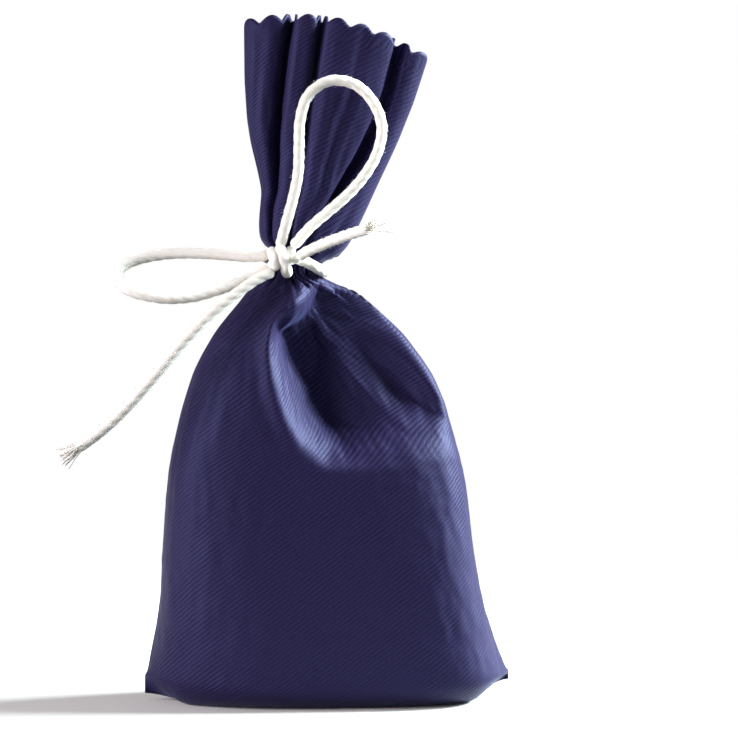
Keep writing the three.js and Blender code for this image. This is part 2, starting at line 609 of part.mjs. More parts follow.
function bottomSeamGeometry() {
  const steps = 24;
  const corner = 0.1;
  const points = Array.from({ length: steps + 1 }, (_, i) => {
    const share = THREE.MathUtils.lerp(corner, 1 - corner, i / steps);
    const outer = clothPoint(0, share, FRONT, 0);
    const inner = clothPoint(0, share, FRONT, CLOTH_THICKNESS);
    return outer.add(inner).multiplyScalar(0.5).setY(0);
  });
  return tubeGeometry(curveThrough(points), THREAD_DIAMETER / 2, THREAD_SIDES, steps);
}

// Materials
const twill = new THREE.MeshStandardMaterial({ color: 0x2d274b, roughness: 0.75, metalness: 0 });
const cotton = new THREE.MeshStandardMaterial({ color: 0xf6f1e6, roughness: 0.9, metalness: 0 });
const thread = new THREE.MeshStandardMaterial({ color: 0x241f42, roughness: 0.8, metalness: 0 });
const lavender = new THREE.MeshStandardMaterial({ color: 0x7d6f86, roughness: 1, metalness: 0 });

function named(name, geometry, material) {
  const mesh = new THREE.Mesh(geometry, material);
  mesh.name = name;
  return mesh;
}

// The sachet: the bag and its filling stand in the part's own frame
const sachet = new THREE.Group();
sachet.add(
  named("front_panel", panelGeometry(FRONT), twill),
  named("back_panel", panelGeometry(BACK), twill),
  named("left_seam_thread", sideSeamGeometry(0), thread),
  named("right_seam_thread", sideSeamGeometry(1), thread),
  named("bottom_seam_thread", bottomSeamGeometry(), thread),
  named("lavender_fill", fillGeometry(), lavender),
);

// The tie leans with the head, and goes round the middle of the neck
const tie = new THREE.Group();
tie.position.copy(NECK_CENTRE);
tie.rotation.y = LEAN;
tie.add(named("neck_wrap", wrapGeometry(), cotton));
sachet.add(tie);

// The bow hangs on the knot, in front of the wrap
const bow = new THREE.Group();
const standoff = NECK_DIAMETER / 2 + CLEARANCE + KNOT_REACH;
const turnToKnot = THREE.MathUtils.degToRad(KNOT_TURN);
bow.position
  .set(standoff * Math.sin(turnToKnot), -standoff * Math.cos(turnToKnot), KNOT_RISE)
  .applyAxisAngle(new THREE.Vector3(0, 1, 0), LEAN)
  .add(NECK_CENTRE);
const exits = [UPPER_LOOP[0], UPPER_LOOP.at(-1), SIDE_LOOP[0], SIDE_LOOP.at(-1), LONG_TAIL[0], SHORT_TAIL[0]];
bow.add(
  named("bow_knot", knotGeometry(exits), cotton),
  named("upper_loop", geometryFrom(cordSolid(UPPER_LOOP, [0, 1])), cotton),
  named("side_loop", geometryFrom(cordSolid(SIDE_LOOP, [0, 1])), cotton),
  named("long_tail", geometryFrom(cordSolid(LONG_TAIL, [0]).add(frayedEnd(LONG_TAIL))), cotton),
  named("short_tail", geometryFrom(cordSolid(SHORT_TAIL, [0]).add(frayedEnd(SHORT_TAIL))), cotton),
);
sachet.add(bow);

export default sachet;
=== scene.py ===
"""Lavender sachet: a twill bag with a gathered neck, tied with a cotton cord bow."""
import math
import random

import bpy
import numpy as np
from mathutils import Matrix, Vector


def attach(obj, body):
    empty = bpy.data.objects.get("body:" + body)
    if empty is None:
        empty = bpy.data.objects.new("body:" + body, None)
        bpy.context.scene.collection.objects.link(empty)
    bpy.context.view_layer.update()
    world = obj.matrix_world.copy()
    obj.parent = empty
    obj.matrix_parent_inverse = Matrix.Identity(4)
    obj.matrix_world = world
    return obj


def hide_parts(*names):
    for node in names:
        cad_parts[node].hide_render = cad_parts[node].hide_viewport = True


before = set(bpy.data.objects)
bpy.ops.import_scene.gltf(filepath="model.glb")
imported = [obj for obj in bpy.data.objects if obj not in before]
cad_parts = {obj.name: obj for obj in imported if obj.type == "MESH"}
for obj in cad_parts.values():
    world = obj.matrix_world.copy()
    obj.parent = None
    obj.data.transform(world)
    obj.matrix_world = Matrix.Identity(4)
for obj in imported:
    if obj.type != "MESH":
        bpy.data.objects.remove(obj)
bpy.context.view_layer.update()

bl_info = {
    "name": "Lavender Sachet",
    "version": (1, 0, 0),
    "blender": (4, 5, 0),
    "location": "View3D > Sidebar > Sachet",
    "description": "Dresses the sachet's solids with cloth, cord, seams and filling",
    "category": "Object",
}

MM = 0.001

# Routes of the bow's cord, in millimetres right, back and up from the middle of the knot
UPPER_LOOP = (
    (-0.8, -0.9, 3.3), (0.8, -1.8, 9.4), (2.5, -2.2, 15.6), (3.7, -2.4, 21.8), (3.9, -2.5, 28.2),
    (4.2, -2.7, 34.6), (6.2, -2.8, 40.6), (11.3, -3, 44.1), (17.5, -3, 43.3), (22.1, -2.8, 39),
    (24.3, -2.6, 33.1), (23.3, -2.5, 26.8), (20.2, -2.4, 21.2), (16.1, -2.2, 16.4), (11.3, -2.1, 12.2),
    (6.5, -1.7, 8), (2.3, -0.9, 3.3),
)
SIDE_LOOP = (
    (-3.6, 0.2, 1.2), (-8.8, 0.9, 0.9), (-13.9, 1.8, 1.3), (-19.1, 2.6, 1.6), (-24.3, 3.4, 1.7),
    (-29.3, 3.9, 1.4), (-34, 3.7, 0.6), (-37.8, 2.7, -0.6), (-40.2, 1, -2.2), (-41, -0.9, -3.9),
    (-40.2, -2.9, -5.6), (-37.8, -4.7, -7.2), (-34, -5.7, -8.3), (-28.8, -5.9, -9.1), (-22.6, -4.9, -8.8),
    (-17.7, -3.7, -7.6), (-12.8, -2.4, -6.1), (-8, -1.1, -4.3), (-3.6, 0.2, -1.9),
)
LONG_TAIL = (
    (-2.4, -3.2, -2.6), (-6.5, -4.5, -4.4), (-10.4, -5.4, -7), (-14.2, -6.1, -9.8), (-17.8, -6.4, -12.8),
    (-21.2, -6.6, -16.1), (-24.5, -6.6, -19.5), (-27.6, -6.5, -23.1), (-30.6, -6.3, -26.7),
    (-33.7, -5.9, -30.3), (-36.8, -5.5, -33.8), (-40.1, -5.1, -37.3), (-43.5, -4.8, -40.5),
    (-47.2, -4.4, -43.5), (-51.1, -4.2, -46.2),
)
SHORT_TAIL = (
    (3.7, -2.4, 0.8), (5.1, -3.8, 1.9), (6.4, -5.5, 2.7), (7.8, -7.2, 3.4), (9.1, -8.9, 4.1),
    (10.4, -10.7, 4.7), (11.6, -12.5, 5.3), (12.9, -14.4, 5.8), (14.1, -16.2, 6.4), (15.2, -18.1, 6.8),
    (16.4, -20.1, 7.3), (17.4, -22, 7.7), (18.5, -24, 8.1), (19.9, -26.8, 8.7),
)
# Each free stretch: its name, its route, what is at its far end and the yarns frayed there
STRETCHES = (
    ("upper_loop", UPPER_LOOP, "object", 0),
    ("side_loop", SIDE_LOOP, "object", 0),
    ("long_tail", LONG_TAIL, "bare", 26),
    ("short_tail", SHORT_TAIL, "bare", 22),
)

# The knot's own strands, from the same middle: each runs on from a loop or a tail
KNOT_STRANDS = (
    ((-0.9, -1, 3.8), (-0.6, -2.4, 2.4), (-0.1, -3.3, 0.6), (0.6, -3.1, -1.4), (1, -1.6, -2.8),
     (0.9, 0.6, -2.8), (0.5, 2.2, -1)),
    ((-2.4, -3, -2.4), (-2, -3.2, -0.6), (-2.3, -2.5, 1.1), (-2.7, -0.9, 2.1), (-2.5, 0.9, 1.7),
     (-1.6, 2, 0.2)),
    ((3.9, -2.6, 0.9), (2.6, -1.6, 0.4), (1.2, -0.8, 0.2), (-0.6, -0.6, -0.4), (-3.6, 0.1, -1.5)),
    ((2.3, -0.8, 3.4), (1.7, -0.6, 1.9), (0.6, -0.2, 0.9), (-1.2, 0.2, 0.8), (-3.8, 0.2, 1.2)),
)

# The bag, in millimetres: heights with the width, depth, sideways shift and roundness there
FOOT = {
    "width": 92, "depth": 26, "toe": 7, "point": 1.7,
    "left_tip": 2, "right_tip": 4.5, "tip_start": 0.75,
}
STATIONS = (
    (7, 91, 40, 0, 1.4), (15, 86.4, 41, -0.8, 1.1), (25.5, 81.4, 41, -1.5, 0.8), (38, 78.1, 40, -2.4, 0.68),
    (57, 74.1, 38, -2.8, 0.64), (68, 69.1, 36, -3.1, 0.64), (79.5, 62.5, 33, -2.8, 0.7),
    (87.3, 55.2, 30, -2, 0.78), (95.7, 42.9, 25.5, -1.5, 0.88), (100.3, 34.5, 21, -2.4, 0.95),
    (103.6, 28, 18, -3.3, 1), (105.8, 23, 15.5, -4.6, 1), (107.75, 12, 12, -8.5, 1),
)
# How flat the filled body's front and back are: 2 is an ellipse, which they become between these heights
FLATNESS = 3.2
FLATNESS_FADE = (60, 98)
# The front turns more sharply to the right seam low down, by this much, fading out between these heights
# and setting in over this share of its right half
SHARP_EDGE = (3.4, 34, 72)
SHARP_ONSET = 0.2
# Where the body starts to tilt towards the tie
TILT_START = 64
NECK_RADIUS = 6
NECK_BAND = 4
TIE_LEAN = math.radians(13)
NECK_FOOT = STATIONS[-1][0]
NECK = np.array((
    STATIONS[-1][3] + NECK_BAND / 2 * math.sin(TIE_LEAN),
    0,
    NECK_FOOT + NECK_BAND / 2 * math.cos(TIE_LEAN),
))
CORD_RADIUS = 1.35
CORD_STEP = 0.45
KNOT_STEP = 0.4
FRAY_LENGTH = 8.5
# How cord and fine yarn are laid up, and how blunt a rounded end is, as a share of its radius
CORD_LAY = {"plies": 3, "lay_length": 9 * MM, "ply_depth": 0.16}
YARN_LAY = {"plies": 2, "lay_length": 1.2 * MM, "ply_depth": 0.3, "sides": 6}
BLUNT_END = 0.12
# Loose fibres: how many to a millimetre and the longest, in metres
BOW_HAIRS = (5, 1.1 * MM)
WRAP_HAIRS = (4, 0.9 * MM)
HAIR_WIDTH = 0.034 * MM
HAIR_LEAN = 1.6
THIRDS = (0, 2.094, 4.189)
# Steps of the cord next to its ends that have no loose fibres, where it presses on other cord
HAIRLESS = 14
WRAP_GAP = 0.3
WRAP_RADIUS = NECK_RADIUS + WRAP_GAP + CORD_RADIUS
# The wrap climbs towards the knot, which lies left of the middle of the front
WRAP_CLIMB = 1.6
CLIMB_FADE = np.radians((25, 90))
WRAP_TURNS = np.radians(np.linspace(-4, 306, 41))
KNOT_TURN = math.radians(-22)
KNOT_RISE = 0.6
KNOT_FORWARD = 2
KNOT_STANDOFF = WRAP_RADIUS + KNOT_FORWARD
LEAN_TURN = np.array((
    (math.cos(TIE_LEAN), 0, math.sin(TIE_LEAN)),
    (0, 1, 0),
    (-math.sin(TIE_LEAN), 0, math.cos(TIE_LEAN)),
))
KNOT = NECK + LEAN_TURN @ np.array((
    KNOT_STANDOFF * math.sin(KNOT_TURN), -KNOT_STANDOFF * math.cos(KNOT_TURN), KNOT_RISE))
# The head above the tie: length along the cloth, left and right edge (each right of the neck and up), depth
HEAD = (
    (2, -5.4, 3.3, 6.3, 0.6, 12), (5, -8.7, 5.6, 11.4, 2.1, 15), (9, -9.1, 9.6, 14.1, 5.9, 16),
    (13, -8.9, 13.6, 16, 9.6, 16), (18, -8.4, 18.6, 18.2, 14.2, 15.5), (24, -9.6, 24.5, 20.8, 19.9, 15),
    (30, -11, 30.3, 23.6, 25.6, 15), (36, -11.9, 36.2, 26.1, 31, 15), (46, -12.5, 46, 29.8, 40.2, 15.5),
    (59, -12.6, 60.9, 33.6, 52, 16),
)
HEAD_LENGTH = HEAD[-1][0]
HEAD_CROWN = 4.8
# How much lower the back panel's edge lies than the front's, between the seams
HEAD_LAG = 2.4
FRONT, BACK = -1, 1

# Gathers of the head: along the cloth from the tie, share of the panel's width, depth and half width there
GATHERS = {
    FRONT: (
        ((0, 0.2, 3, 1), (14, 0.165, 6, 1.3), (26, 0.24, 8, 1.5), (36, 0.279, 9, 1.5),
         (59, 0.326, 9.4, 1.5)),
        ((0, 0.38, 3.5, 1), (14, 0.38, 5, 1.2), (30, 0.42, 7, 1.2), (59, 0.446, 8.6, 1.2)),
        ((0, 0.46, 2, 1), (12, 0.47, 1, 2), (20, 0.53, 1, 2.4), (40, 0.585, 0.9, 3), (59, 0.6, 0.5, 3)),
        ((0, 0.54, 3, 1), (10, 0.555, 5, 1.5), (20, 0.649, 7, 1.9), (28, 0.717, 8.4, 2.1),
         (40, 0.755, 9, 2.1), (59, 0.756, 9, 2.1)),
        ((0, 0.7, 3, 1), (12, 0.74, 0.8, 2), (24, 0.82, 0, 2), (59, 0.86, 0, 2)),
    ),
    BACK: (
        ((0, 0.2, 3, 1), (20, 0.17, 5, 1.6), (59, 0.14, 5, 2.2)),
        ((0, 0.38, 3.5, 1), (20, 0.33, 6, 1.8), (59, 0.3, 7, 2.2)),
        ((0, 0.5, 3, 1), (20, 0.5, 2, 1.8), (59, 0.47, 2.4, 2.4)),
        ((0, 0.62, 3.5, 1), (20, 0.66, 6, 1.8), (59, 0.68, 7, 2.4)),
        ((0, 0.8, 3, 1), (20, 0.83, 4, 1.6), (59, 0.86, 4.5, 2.2)),
    ),
}
# How far below the tie the gathers fade out, and how much of a gather is its slit: the rest is a wider dip
GATHER_REACH = 9
SLIT_SHARE = 0.84
DIP_WIDTH = 2.6
# How far below the tie the cloth's own threads are drawn together towards it
DRAWN_REACH = 35
# Columns over which the cloth evens out its length, as its weave lets it
COLUMN_BLUR = 3

# The slack cloth right of the tie has sunk in: its edge runs down from the tie and then across to the right
# seam, as right of the neck, below it, and the width of the wall down from the edge
SUNK = (
    (6, 2, 3), (3.4, 5, 3), (2, 8, 3.4), (0.8, 11, 3.4), (-0.8, 13.2, 3), (-2.6, 13.8, 2.6),
    (-4, 13.2, 2.6), (-5.2, 13.4, 2.8), (-6.4, 15.2, 3.4), (-7.1, 19, 4.6), (-6.8, 25, 6.4),
    (-5.7, 31, 7.8), (-4, 36.4, 8.2), (-1.6, 41.4, 8.4), (1.8, 46, 8.6), (6.4, 49.4, 9.4),
    (12, 51, 11.4), (18, 51.4, 14), (25, 50.6, 15.4), (32, 49, 15), (40, 47.5, 13),
)
SUNK_DEPTH = 11
# It deepens below the tie, is less deep by a share towards the right, and its wall grows rounder on the way
SUNK_START = (1, 10)
SUNK_EASE = (0.3, 8, 38)
SUNK_ROUNDED = (4, 16)
# Hollows within it: right of the neck, below it, depth, and the widths of the left and right walls
HOLLOWS = (
    ((1.6, 12.4, 2.5, 3, 4), (0.2, 15.4, 5, 3.6, 6), (-0.4, 19, 5, 4.4, 8), (0.4, 23.5, 4.2, 5.6, 10),
     (3, 29.5, 3, 7, 11), (5, 36.5, 2.4, 8, 11), (8.4, 42.6, 1, 8, 10)),
    ((17, 21, 1.5, 6, 6), (22, 26, 3, 7, 7), (27, 30.6, 4.4, 8, 6.5), (32, 34, 3, 8, 5)),
)
# The right shoulder turns back sharply, by this share, between these heights
SQUARE_SHOULDER = (0.62, 58, 78, 98, 105)
# Ridges and creases of the slack cloth: height, width and a line right of the neck and below it
RIDGES = (
    (3, 2.6, ((0.8, 4), (-0.4, 7.2), (-1.6, 9.6), (-3, 11.4))),
    (2.4, 1.8, ((-1, 9), (-3.2, 10), (-5.2, 11.8), (-6.6, 14.2), (-7.5, 18.4))),
    (1.3, 2.6, ((-2.4, 8.8), (-5.7, 11.6), (-7, 16.2), (-6.9, 22.2), (-6.1, 28.6), (-4.3, 36),
                (-1.6, 42.9))),
    (-2, 1.2, ((-1.7, 1.5), (-2.3, 5.6), (-2.6, 8.4))),
    (-0.8, 1.6, ((25, 41.2), (31.6, 42.2), (38, 42.2))),
)
FOLD_STEP = 0.6
# The deepest that a fold may be, as a share of the way back to the seams
DEEPEST_FOLD = 0.88

# How far the thread pulls the side seams in, the heights where that starts and ends, and the thread's size
SEAM_GROOVE = 0.8
SEAM_SPAN = (14, 30, 88, 100)
THREAD_DIAMETER = 0.5
STITCH_LENGTH = 2.2
STITCH_INSET = 0.4
STITCH_POINTS = 5
# Rows at the ends of the side seams, and columns at the ends of the bottom seam, that have no stitches
SIDE_ENDS = 3
BOTTOM_ENDS = 6
BUD_SIZE = 4.5 * MM
PANEL_WIDTH = 94
SCALLOPS = 13
SCALLOP_DEPTH = 1.7
SCALLOP_REACH = 7
COLUMNS = 8 * SCALLOPS
ROWS = 100
LOFT_POINTS = 481
FILL_TOP = 73
FILL_CROWN = 3
# How far inside the cloth the filling starts, and the form that the cloth settles over
HEAP_INSET = 2.2
FORM_INSET = 1.6
# The filling doesn't reach into the flat corners of the base
FILL_REACH = 40.5
# The cloth settles at ten times its size, where the solver's steps suit it
SIM_SCALE = 10
SIM_FRAMES = 6
SLACK = 1.01
CLOTH_GAP = 0.006
FORM_GAP = 0.004
CLOTH_SETTINGS = {
    "quality": 6, "mass": 0.3, "bending_model": "ANGULAR",
    "tension_stiffness": 20, "compression_stiffness": 12, "shear_stiffness": 4, "bending_stiffness": 0.6,
    "tension_damping": 15, "compression_damping": 15, "shear_damping": 10, "bending_damping": 2,
    "air_damping": 4,
}

# The camera's sensor in millimetres, its focal length and picture in pixels, and where it aims
SENSOR = 36
FOCAL_PIXELS = 3190
PICTURE_PIXELS = 738
AIM = Vector((0, 0, 0.085))
AIM_RIGHT = 0.0105
AIM_DOWN = 0.0015
# Lamps: name, place, size and colour
LAMPS = (("key", (0.66, 0.07, 0.46), 0.36, "f2ffff"), ("fill", (-0.8, -0.34, 0.28), 0.5, "fff6fa"))
LAMP_TARGET = Vector((0, 0, 0.08))
FLOOR_SIZE = 6


def linear(hex_colour):
    """The linear colour of an sRGB hex value"""
    channels = [int(hex_colour[i:i + 2], 16) / 255 for i in (0, 2, 4)]
    return [c / 12.92 if c <= 0.04045 else ((c + 0.055) / 1.055) ** 2.4 for c in channels] + [1.0]


def feed(tree, node, inputs):
    """A value for each of a node's inputs, or a link where another node's output is given"""
    for socket, value in inputs.items():
        if isinstance(value, bpy.types.NodeSocket):
            tree.links.new(value, node.inputs[socket])
        else:
            node.inputs[socket].default_value = value


def add_node(tree, kind, inputs=None, **settings):
    """One shader node with its settings, values and links"""
    node = tree.nodes.new(kind)
    for key, value in settings.items():
        setattr(node, key, value)
    feed(tree, node, inputs or {})
    return node


def new_material(name):
    """An empty node material with its output and a Principled shader"""
    material = bpy.data.materials.new(name)
    material.use_nodes = True
    tree = material.node_tree
    tree.nodes.clear()
    shader = add_node(tree, "ShaderNodeBsdfPrincipled")
    add_node(tree, "ShaderNodeOutputMaterial", {"Surface": shader.outputs["BSDF"]})
    return material, tree, shader


def deselect():
    """Nothing selected, in object mode"""
    if bpy.context.object and bpy.context.object.mode != "OBJECT":
        bpy.ops.object.mode_set(mode="OBJECT")
    bpy.ops.object.select_all(action="DESELECT")


def only(obj):
    """obj alone selected and active"""
    deselect()
    obj.select_set(True)
    bpy.context.view_layer.objects.active = obj


def apply_modifiers(obj):
    """Every modifier of obj applied, in order"""
    only(obj)
    for modifier in list(obj.modifiers):
        bpy.ops.object.modifier_apply(modifier=modifier.name)


def mesh_object(name, points, faces):
    """A new mesh object at the origin, in metres"""
    mesh = bpy.data.meshes.new(name)
    mesh.from_pydata([tuple(p) for p in points], [], faces)
    mesh.update()
    obj = bpy.data.objects.new(name, mesh)
    bpy.context.scene.collection.objects.link(obj)
    return obj


def finish_piece(obj, body, material):
    """The finish and the body that a piece moves with"""
    obj.data.materials.clear()
    obj.data.materials.append(material)
    obj.data.polygons.foreach_set("use_smooth", [True] * len(obj.data.polygons))
    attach(obj, body)


def join_mesh(points, faces, more_points, more_faces):
    """One mesh's points and faces added to another's"""
    base = len(points)
    points.extend(more_points)
    faces.extend(tuple(base + i for i in face) for face in more_faces)


def ring_faces(rings, count):
    """Quads between closed rings of count points each"""
    faces = []
    for r in range(rings - 1):
        for k in range(count):
            n = (k + 1) % count
            faces.append((r * count + k, r * count + n, (r + 1) * count + n, (r + 1) * count + k))
    return faces


# Smooth curves


def lengths_along(line):
    """Length along a line of points, up to each of them"""
    return np.concatenate([[0], np.cumsum(np.linalg.norm(np.diff(line, axis=0), axis=1))])


def row_runs(grid, slack=1.0):
    """Length along each row of a grid, up to each of its points"""
    steps = np.linalg.norm(np.diff(grid, axis=1), axis=2) * slack
    return np.concatenate([np.zeros((len(grid), 1)), np.cumsum(steps, axis=1)], axis=1)


def smooth_line(points, step):
    """Points a step apart on a smooth curve through the given ones"""
    p = np.array(points, float)
    p = np.vstack([2 * p[0] - p[1], p, 2 * p[-1] - p[-2]])
    fine = []
    for a, b, c, d in zip(p, p[1:], p[2:], p[3:]):
        slope, bend, twist = c - a, 2 * a - 5 * b + 4 * c - d, 3 * b - a - 3 * c + d
        for t in np.linspace(0, 1, 24, endpoint=False):
            fine.append(0.5 * (2 * b + slope * t + bend * t * t + twist * t ** 3))
    fine = np.array(fine + [p[-2]])
    along = lengths_along(fine)
    even = np.linspace(0, along[-1], max(2, round(along[-1] / step)) + 1)
    return np.stack([np.interp(even, along, fine[:, k]) for k in range(fine.shape[1])], axis=1)


def line_length(line):
    """Length along a line of points"""
    return float(np.linalg.norm(np.diff(line, axis=0), axis=1).sum())


def carried_frames(line):
    """A tangent and two square directions at each point, turning as little as they can"""
    tangents = np.gradient(line, axis=0)
    tangents /= np.linalg.norm(tangents, axis=1, keepdims=True)
    start = np.cross(tangents[0], (0.3, 0.2, 1) if abs(tangents[0][2]) < 0.9 else (1, 0, 0))
    sides = [start / np.linalg.norm(start)]
    for tangent in tangents[1:]:
        side = sides[-1] - tangent * np.dot(sides[-1], tangent)
        sides.append(side / np.linalg.norm(side))
    sides = np.array(sides)
    return tangents, sides, np.cross(tangents, sides)


# Cords


def cord_tube(line, diameter, plies, lay_length, ply_depth, sides=20):
    """Points and faces of a laid cord along a line, with rounded ends"""
    radius = diameter / 2
    _, sides_a, sides_b = carried_frames(line)
    steps = lengths_along(line)
    angles = np.linspace(0, 2 * np.pi, sides, endpoint=False)
    rings = []
    for p, a, b, s in zip(line, sides_a, sides_b, steps):
        from_end = min(s, steps[-1] - s)
        cap = math.sqrt(max(0, 1 - (1 - min(1, (from_end + BLUNT_END * radius) / radius)) ** 2))
        wave = np.abs(np.sin(plies / 2 * (angles - 2 * np.pi * s / lay_length)))
        radii = radius * cap * (1 - ply_depth * (1 - wave) ** 2)
        rings.append(p + np.outer(radii * np.cos(angles), a) + np.outer(radii * np.sin(angles), b))
    points = list(np.concatenate(rings))
    faces = ring_faces(len(rings), sides)
    for ring, tip, turn in ((0, line[0], -1), (len(rings) - 1, line[-1], 1)):
        points.append(tip)
        for k in range(sides):
            pair = (ring * sides + k, ring * sides + (k + 1) % sides)
            faces.append((*pair[::turn], len(points) - 1))
    return points, faces


def add_hairs(points, faces, line, diameter, per_mm, longest, chance):
    """Short fibres that stand off the cord, each a thin spike of three sides"""
    tangents, sides_a, sides_b = carried_frames(line)
    count = int(line_length(line) / MM * per_mm)
    for _ in range(count):
        i = chance.randrange(HAIRLESS, len(line) - HAIRLESS)
        angle = chance.uniform(0, 2 * math.pi)
        out = sides_a[i] * math.cos(angle) + sides_b[i] * math.sin(angle)
        lean = chance.uniform(-HAIR_LEAN, HAIR_LEAN)
        direction = out + tangents[i] * lean + np.cross(tangents[i], out) * chance.uniform(-1, 1)
        direction /= np.linalg.norm(direction)
        length = longest * chance.uniform(0.25, 1) ** 1.5
        root = line[i] + out * diameter * 0.46
        bend = root + direction * length * 0.55
        tip = root + direction * length + out * length * chance.uniform(-0.35, 0.1)
        across = np.cross(direction, out)
        across /= np.linalg.norm(across) + 1e-9
        above = np.cross(across, direction)
        base = len(points)
        for centre, size in ((root, HAIR_WIDTH), (bend, HAIR_WIDTH * 0.8)):
            for turn in THIRDS:
                points.append(centre + (across * math.cos(turn) + above * math.sin(turn)) * size)
        points.append(tip)
        for k in range(3):
            n = (k + 1) % 3
            faces.append((base + k, base + n, base + 3 + n, base + 3 + k))
            faces.append((base + 3 + k, base + 3 + n, base + 6))
        faces.append((base + 2, base + 1, base))


def frayed_yarns(line, diameter, yarns, chance):
    """Points and faces of the loose yarns of a cut end"""
    points, faces = [], []
    tangents, sides_a, sides_b = carried_frames(line)
    tip, ahead, a, b = line[-1], tangents[-1], sides_a[-1], sides_b[-1]
    for k in range(yarns):
        angle = 2.4 * k
        ring = math.sqrt((k + 0.5) / yarns)
        out = a * math.cos(angle) + b * math.sin(angle)
        root = tip - ahead * diameter * 1.2 + out * ring * diameter * 0.36
        reach = FRAY_LENGTH * MM * chance.uniform(0.55, 1)
        spread = ring * chance.uniform(0.08, 0.34)
        drift = a * chance.uniform(-0.12, 0.12) + b * chance.uniform(-0.12, 0.12)
        aside = out * spread + drift
        way = [root + ahead * reach * t + aside * reach * t ** 1.7 for t in (0, 0.3, 0.6, 1)]
        thickness = chance.uniform(0.4, 0.6) * MM
        join_mesh(points, faces, *cord_tube(smooth_line(way, 0.7 * MM), thickness, **YARN_LAY))
    return points, faces


# Cloth


def station_values(heights):
    """Width, depth, shift and roundness at each height, on cubics that don't overshoot"""
    table = np.array(STATIONS, float)
    x, values = table[:, 0], table[:, 1:]
    slopes = np.diff(values, axis=0) / np.diff(x)[:, None]
    tangents = np.vstack([slopes[:1], np.zeros_like(slopes[1:]), slopes[-1:]])
    product = slopes[:-1] * slopes[1:]
    total = np.where(product > 0, slopes[:-1] + slopes[1:], 1)
    tangents[1:-1] = np.where(product > 0, 2 * product / total, 0)
    heights = np.clip(heights, x[0], x[-1])
    i = np.clip(np.searchsorted(x, heights, side="right") - 1, 0, len(x) - 2)
    span = (x[i + 1] - x[i])[:, None]
    t = (heights[:, None] - x[i][:, None]) / span
    start = (1 + 2 * t) * (1 - t) ** 2 * values[i] + t * (1 - t) ** 2 * span * tangents[i]
    end = t * t * (3 - 2 * t) * values[i + 1] + t * t * (t - 1) * span * tangents[i + 1]
    return start + end


def smoothstep(low, high, x):
    """0 below low and 1 above high, smooth between"""
    t = np.clip((x - low) / (high - low), 0, 1)
    return t * t * (3 - 2 * t)


def loft_rows():
    """Rows of the loft by their length along the cloth, from the bottom seam up: kind and place"""
    under = FOOT["depth"] / 2
    toe = FOOT["toe"] * math.pi / 2
    body = np.linspace(FOOT["toe"], NECK_FOOT, 400)
    depth = station_values(body)[:, 1] / 2
    rise = np.concatenate([[0], np.cumsum(np.hypot(np.diff(body), np.diff(depth)))])
    marks = np.cumsum([0, under, toe, rise[-1], NECK_BAND / 2 + HEAD_LENGTH])
    lengths = np.linspace(0, marks[-1], ROWS + 1)
    rows = []
    for s in lengths:
        if s <= marks[1]:
            rows.append(("under", s))
        elif s <= marks[2]:
            rows.append(("toe", (s - marks[1]) / FOOT["toe"]))
        elif s <= marks[3]:
            rows.append(("body", float(np.interp(s - marks[2], rise, body))))
        else:
            rows.append(("head", s - marks[3] - NECK_BAND / 2))
    return rows, lengths


def flatness_at(place, side, across):
    """How flat a row of the body is at its height"""
    more, low, high = SHARP_EDGE
    sharp = more * (1 - smoothstep(low, high, place)) if side == FRONT else 0
    flat = FLATNESS + (2 - FLATNESS) * smoothstep(*FLATNESS_FADE, place)
    return flat + sharp * smoothstep(0, SHARP_ONSET, across)


def foot_row(kind, place, side, across, length):
    """A row of the flat underside or of the rounded toe above it"""
    turn = place if kind == "toe" else 0
    depth = place if kind == "under" else FOOT["depth"] / 2 + FOOT["toe"] * math.sin(turn)
    height = FOOT["toe"] * (1 - math.cos(turn))
    tip = np.where(across < 0, FOOT["left_tip"], FOOT["right_tip"])
    edge = tip + (FOOT["toe"] - tip) * length / (FOOT["depth"] / 2 + FOOT["toe"] * math.pi / 2)
    ramp = smoothstep(FOOT["tip_start"], 1, np.abs(across))
    point = FOOT["point"] + (STATIONS[0][4] - FOOT["point"]) * turn / (math.pi / 2)
    flat = 2 + (flatness_at(0, side, across) - 2) * turn / (math.pi / 2)
    y = side * depth * np.clip(1 - np.abs(across) ** flat, 0, 1) ** (point / 2)
    return np.stack([FOOT["width"] / 2 * across, y, height + (edge - height) * ramp], axis=1)


def body_row(place, side, across):
    """A row of the filled body, tilting towards the tie"""
    width, depth, shift, point = station_values(np.array([place]))[0]
    tilt = TIE_LEAN * smoothstep(TILT_START, NECK_FOOT, place)
    out = width / 2 * across
    share, low, start, end, high = SQUARE_SHOULDER
    square = share * smoothstep(low, start, place) * (1 - smoothstep(end, high, place))
    point = np.where(across > 0, point * (1 - square), point) if side == FRONT else point
    flat = flatness_at(place, side, across)
    y = side * depth / 2 * np.clip(1 - np.abs(across) ** flat, 0, 1) ** (point / 2)
    return np.stack([shift + out * math.cos(tilt), y, place - out * math.sin(tilt)], axis=1)


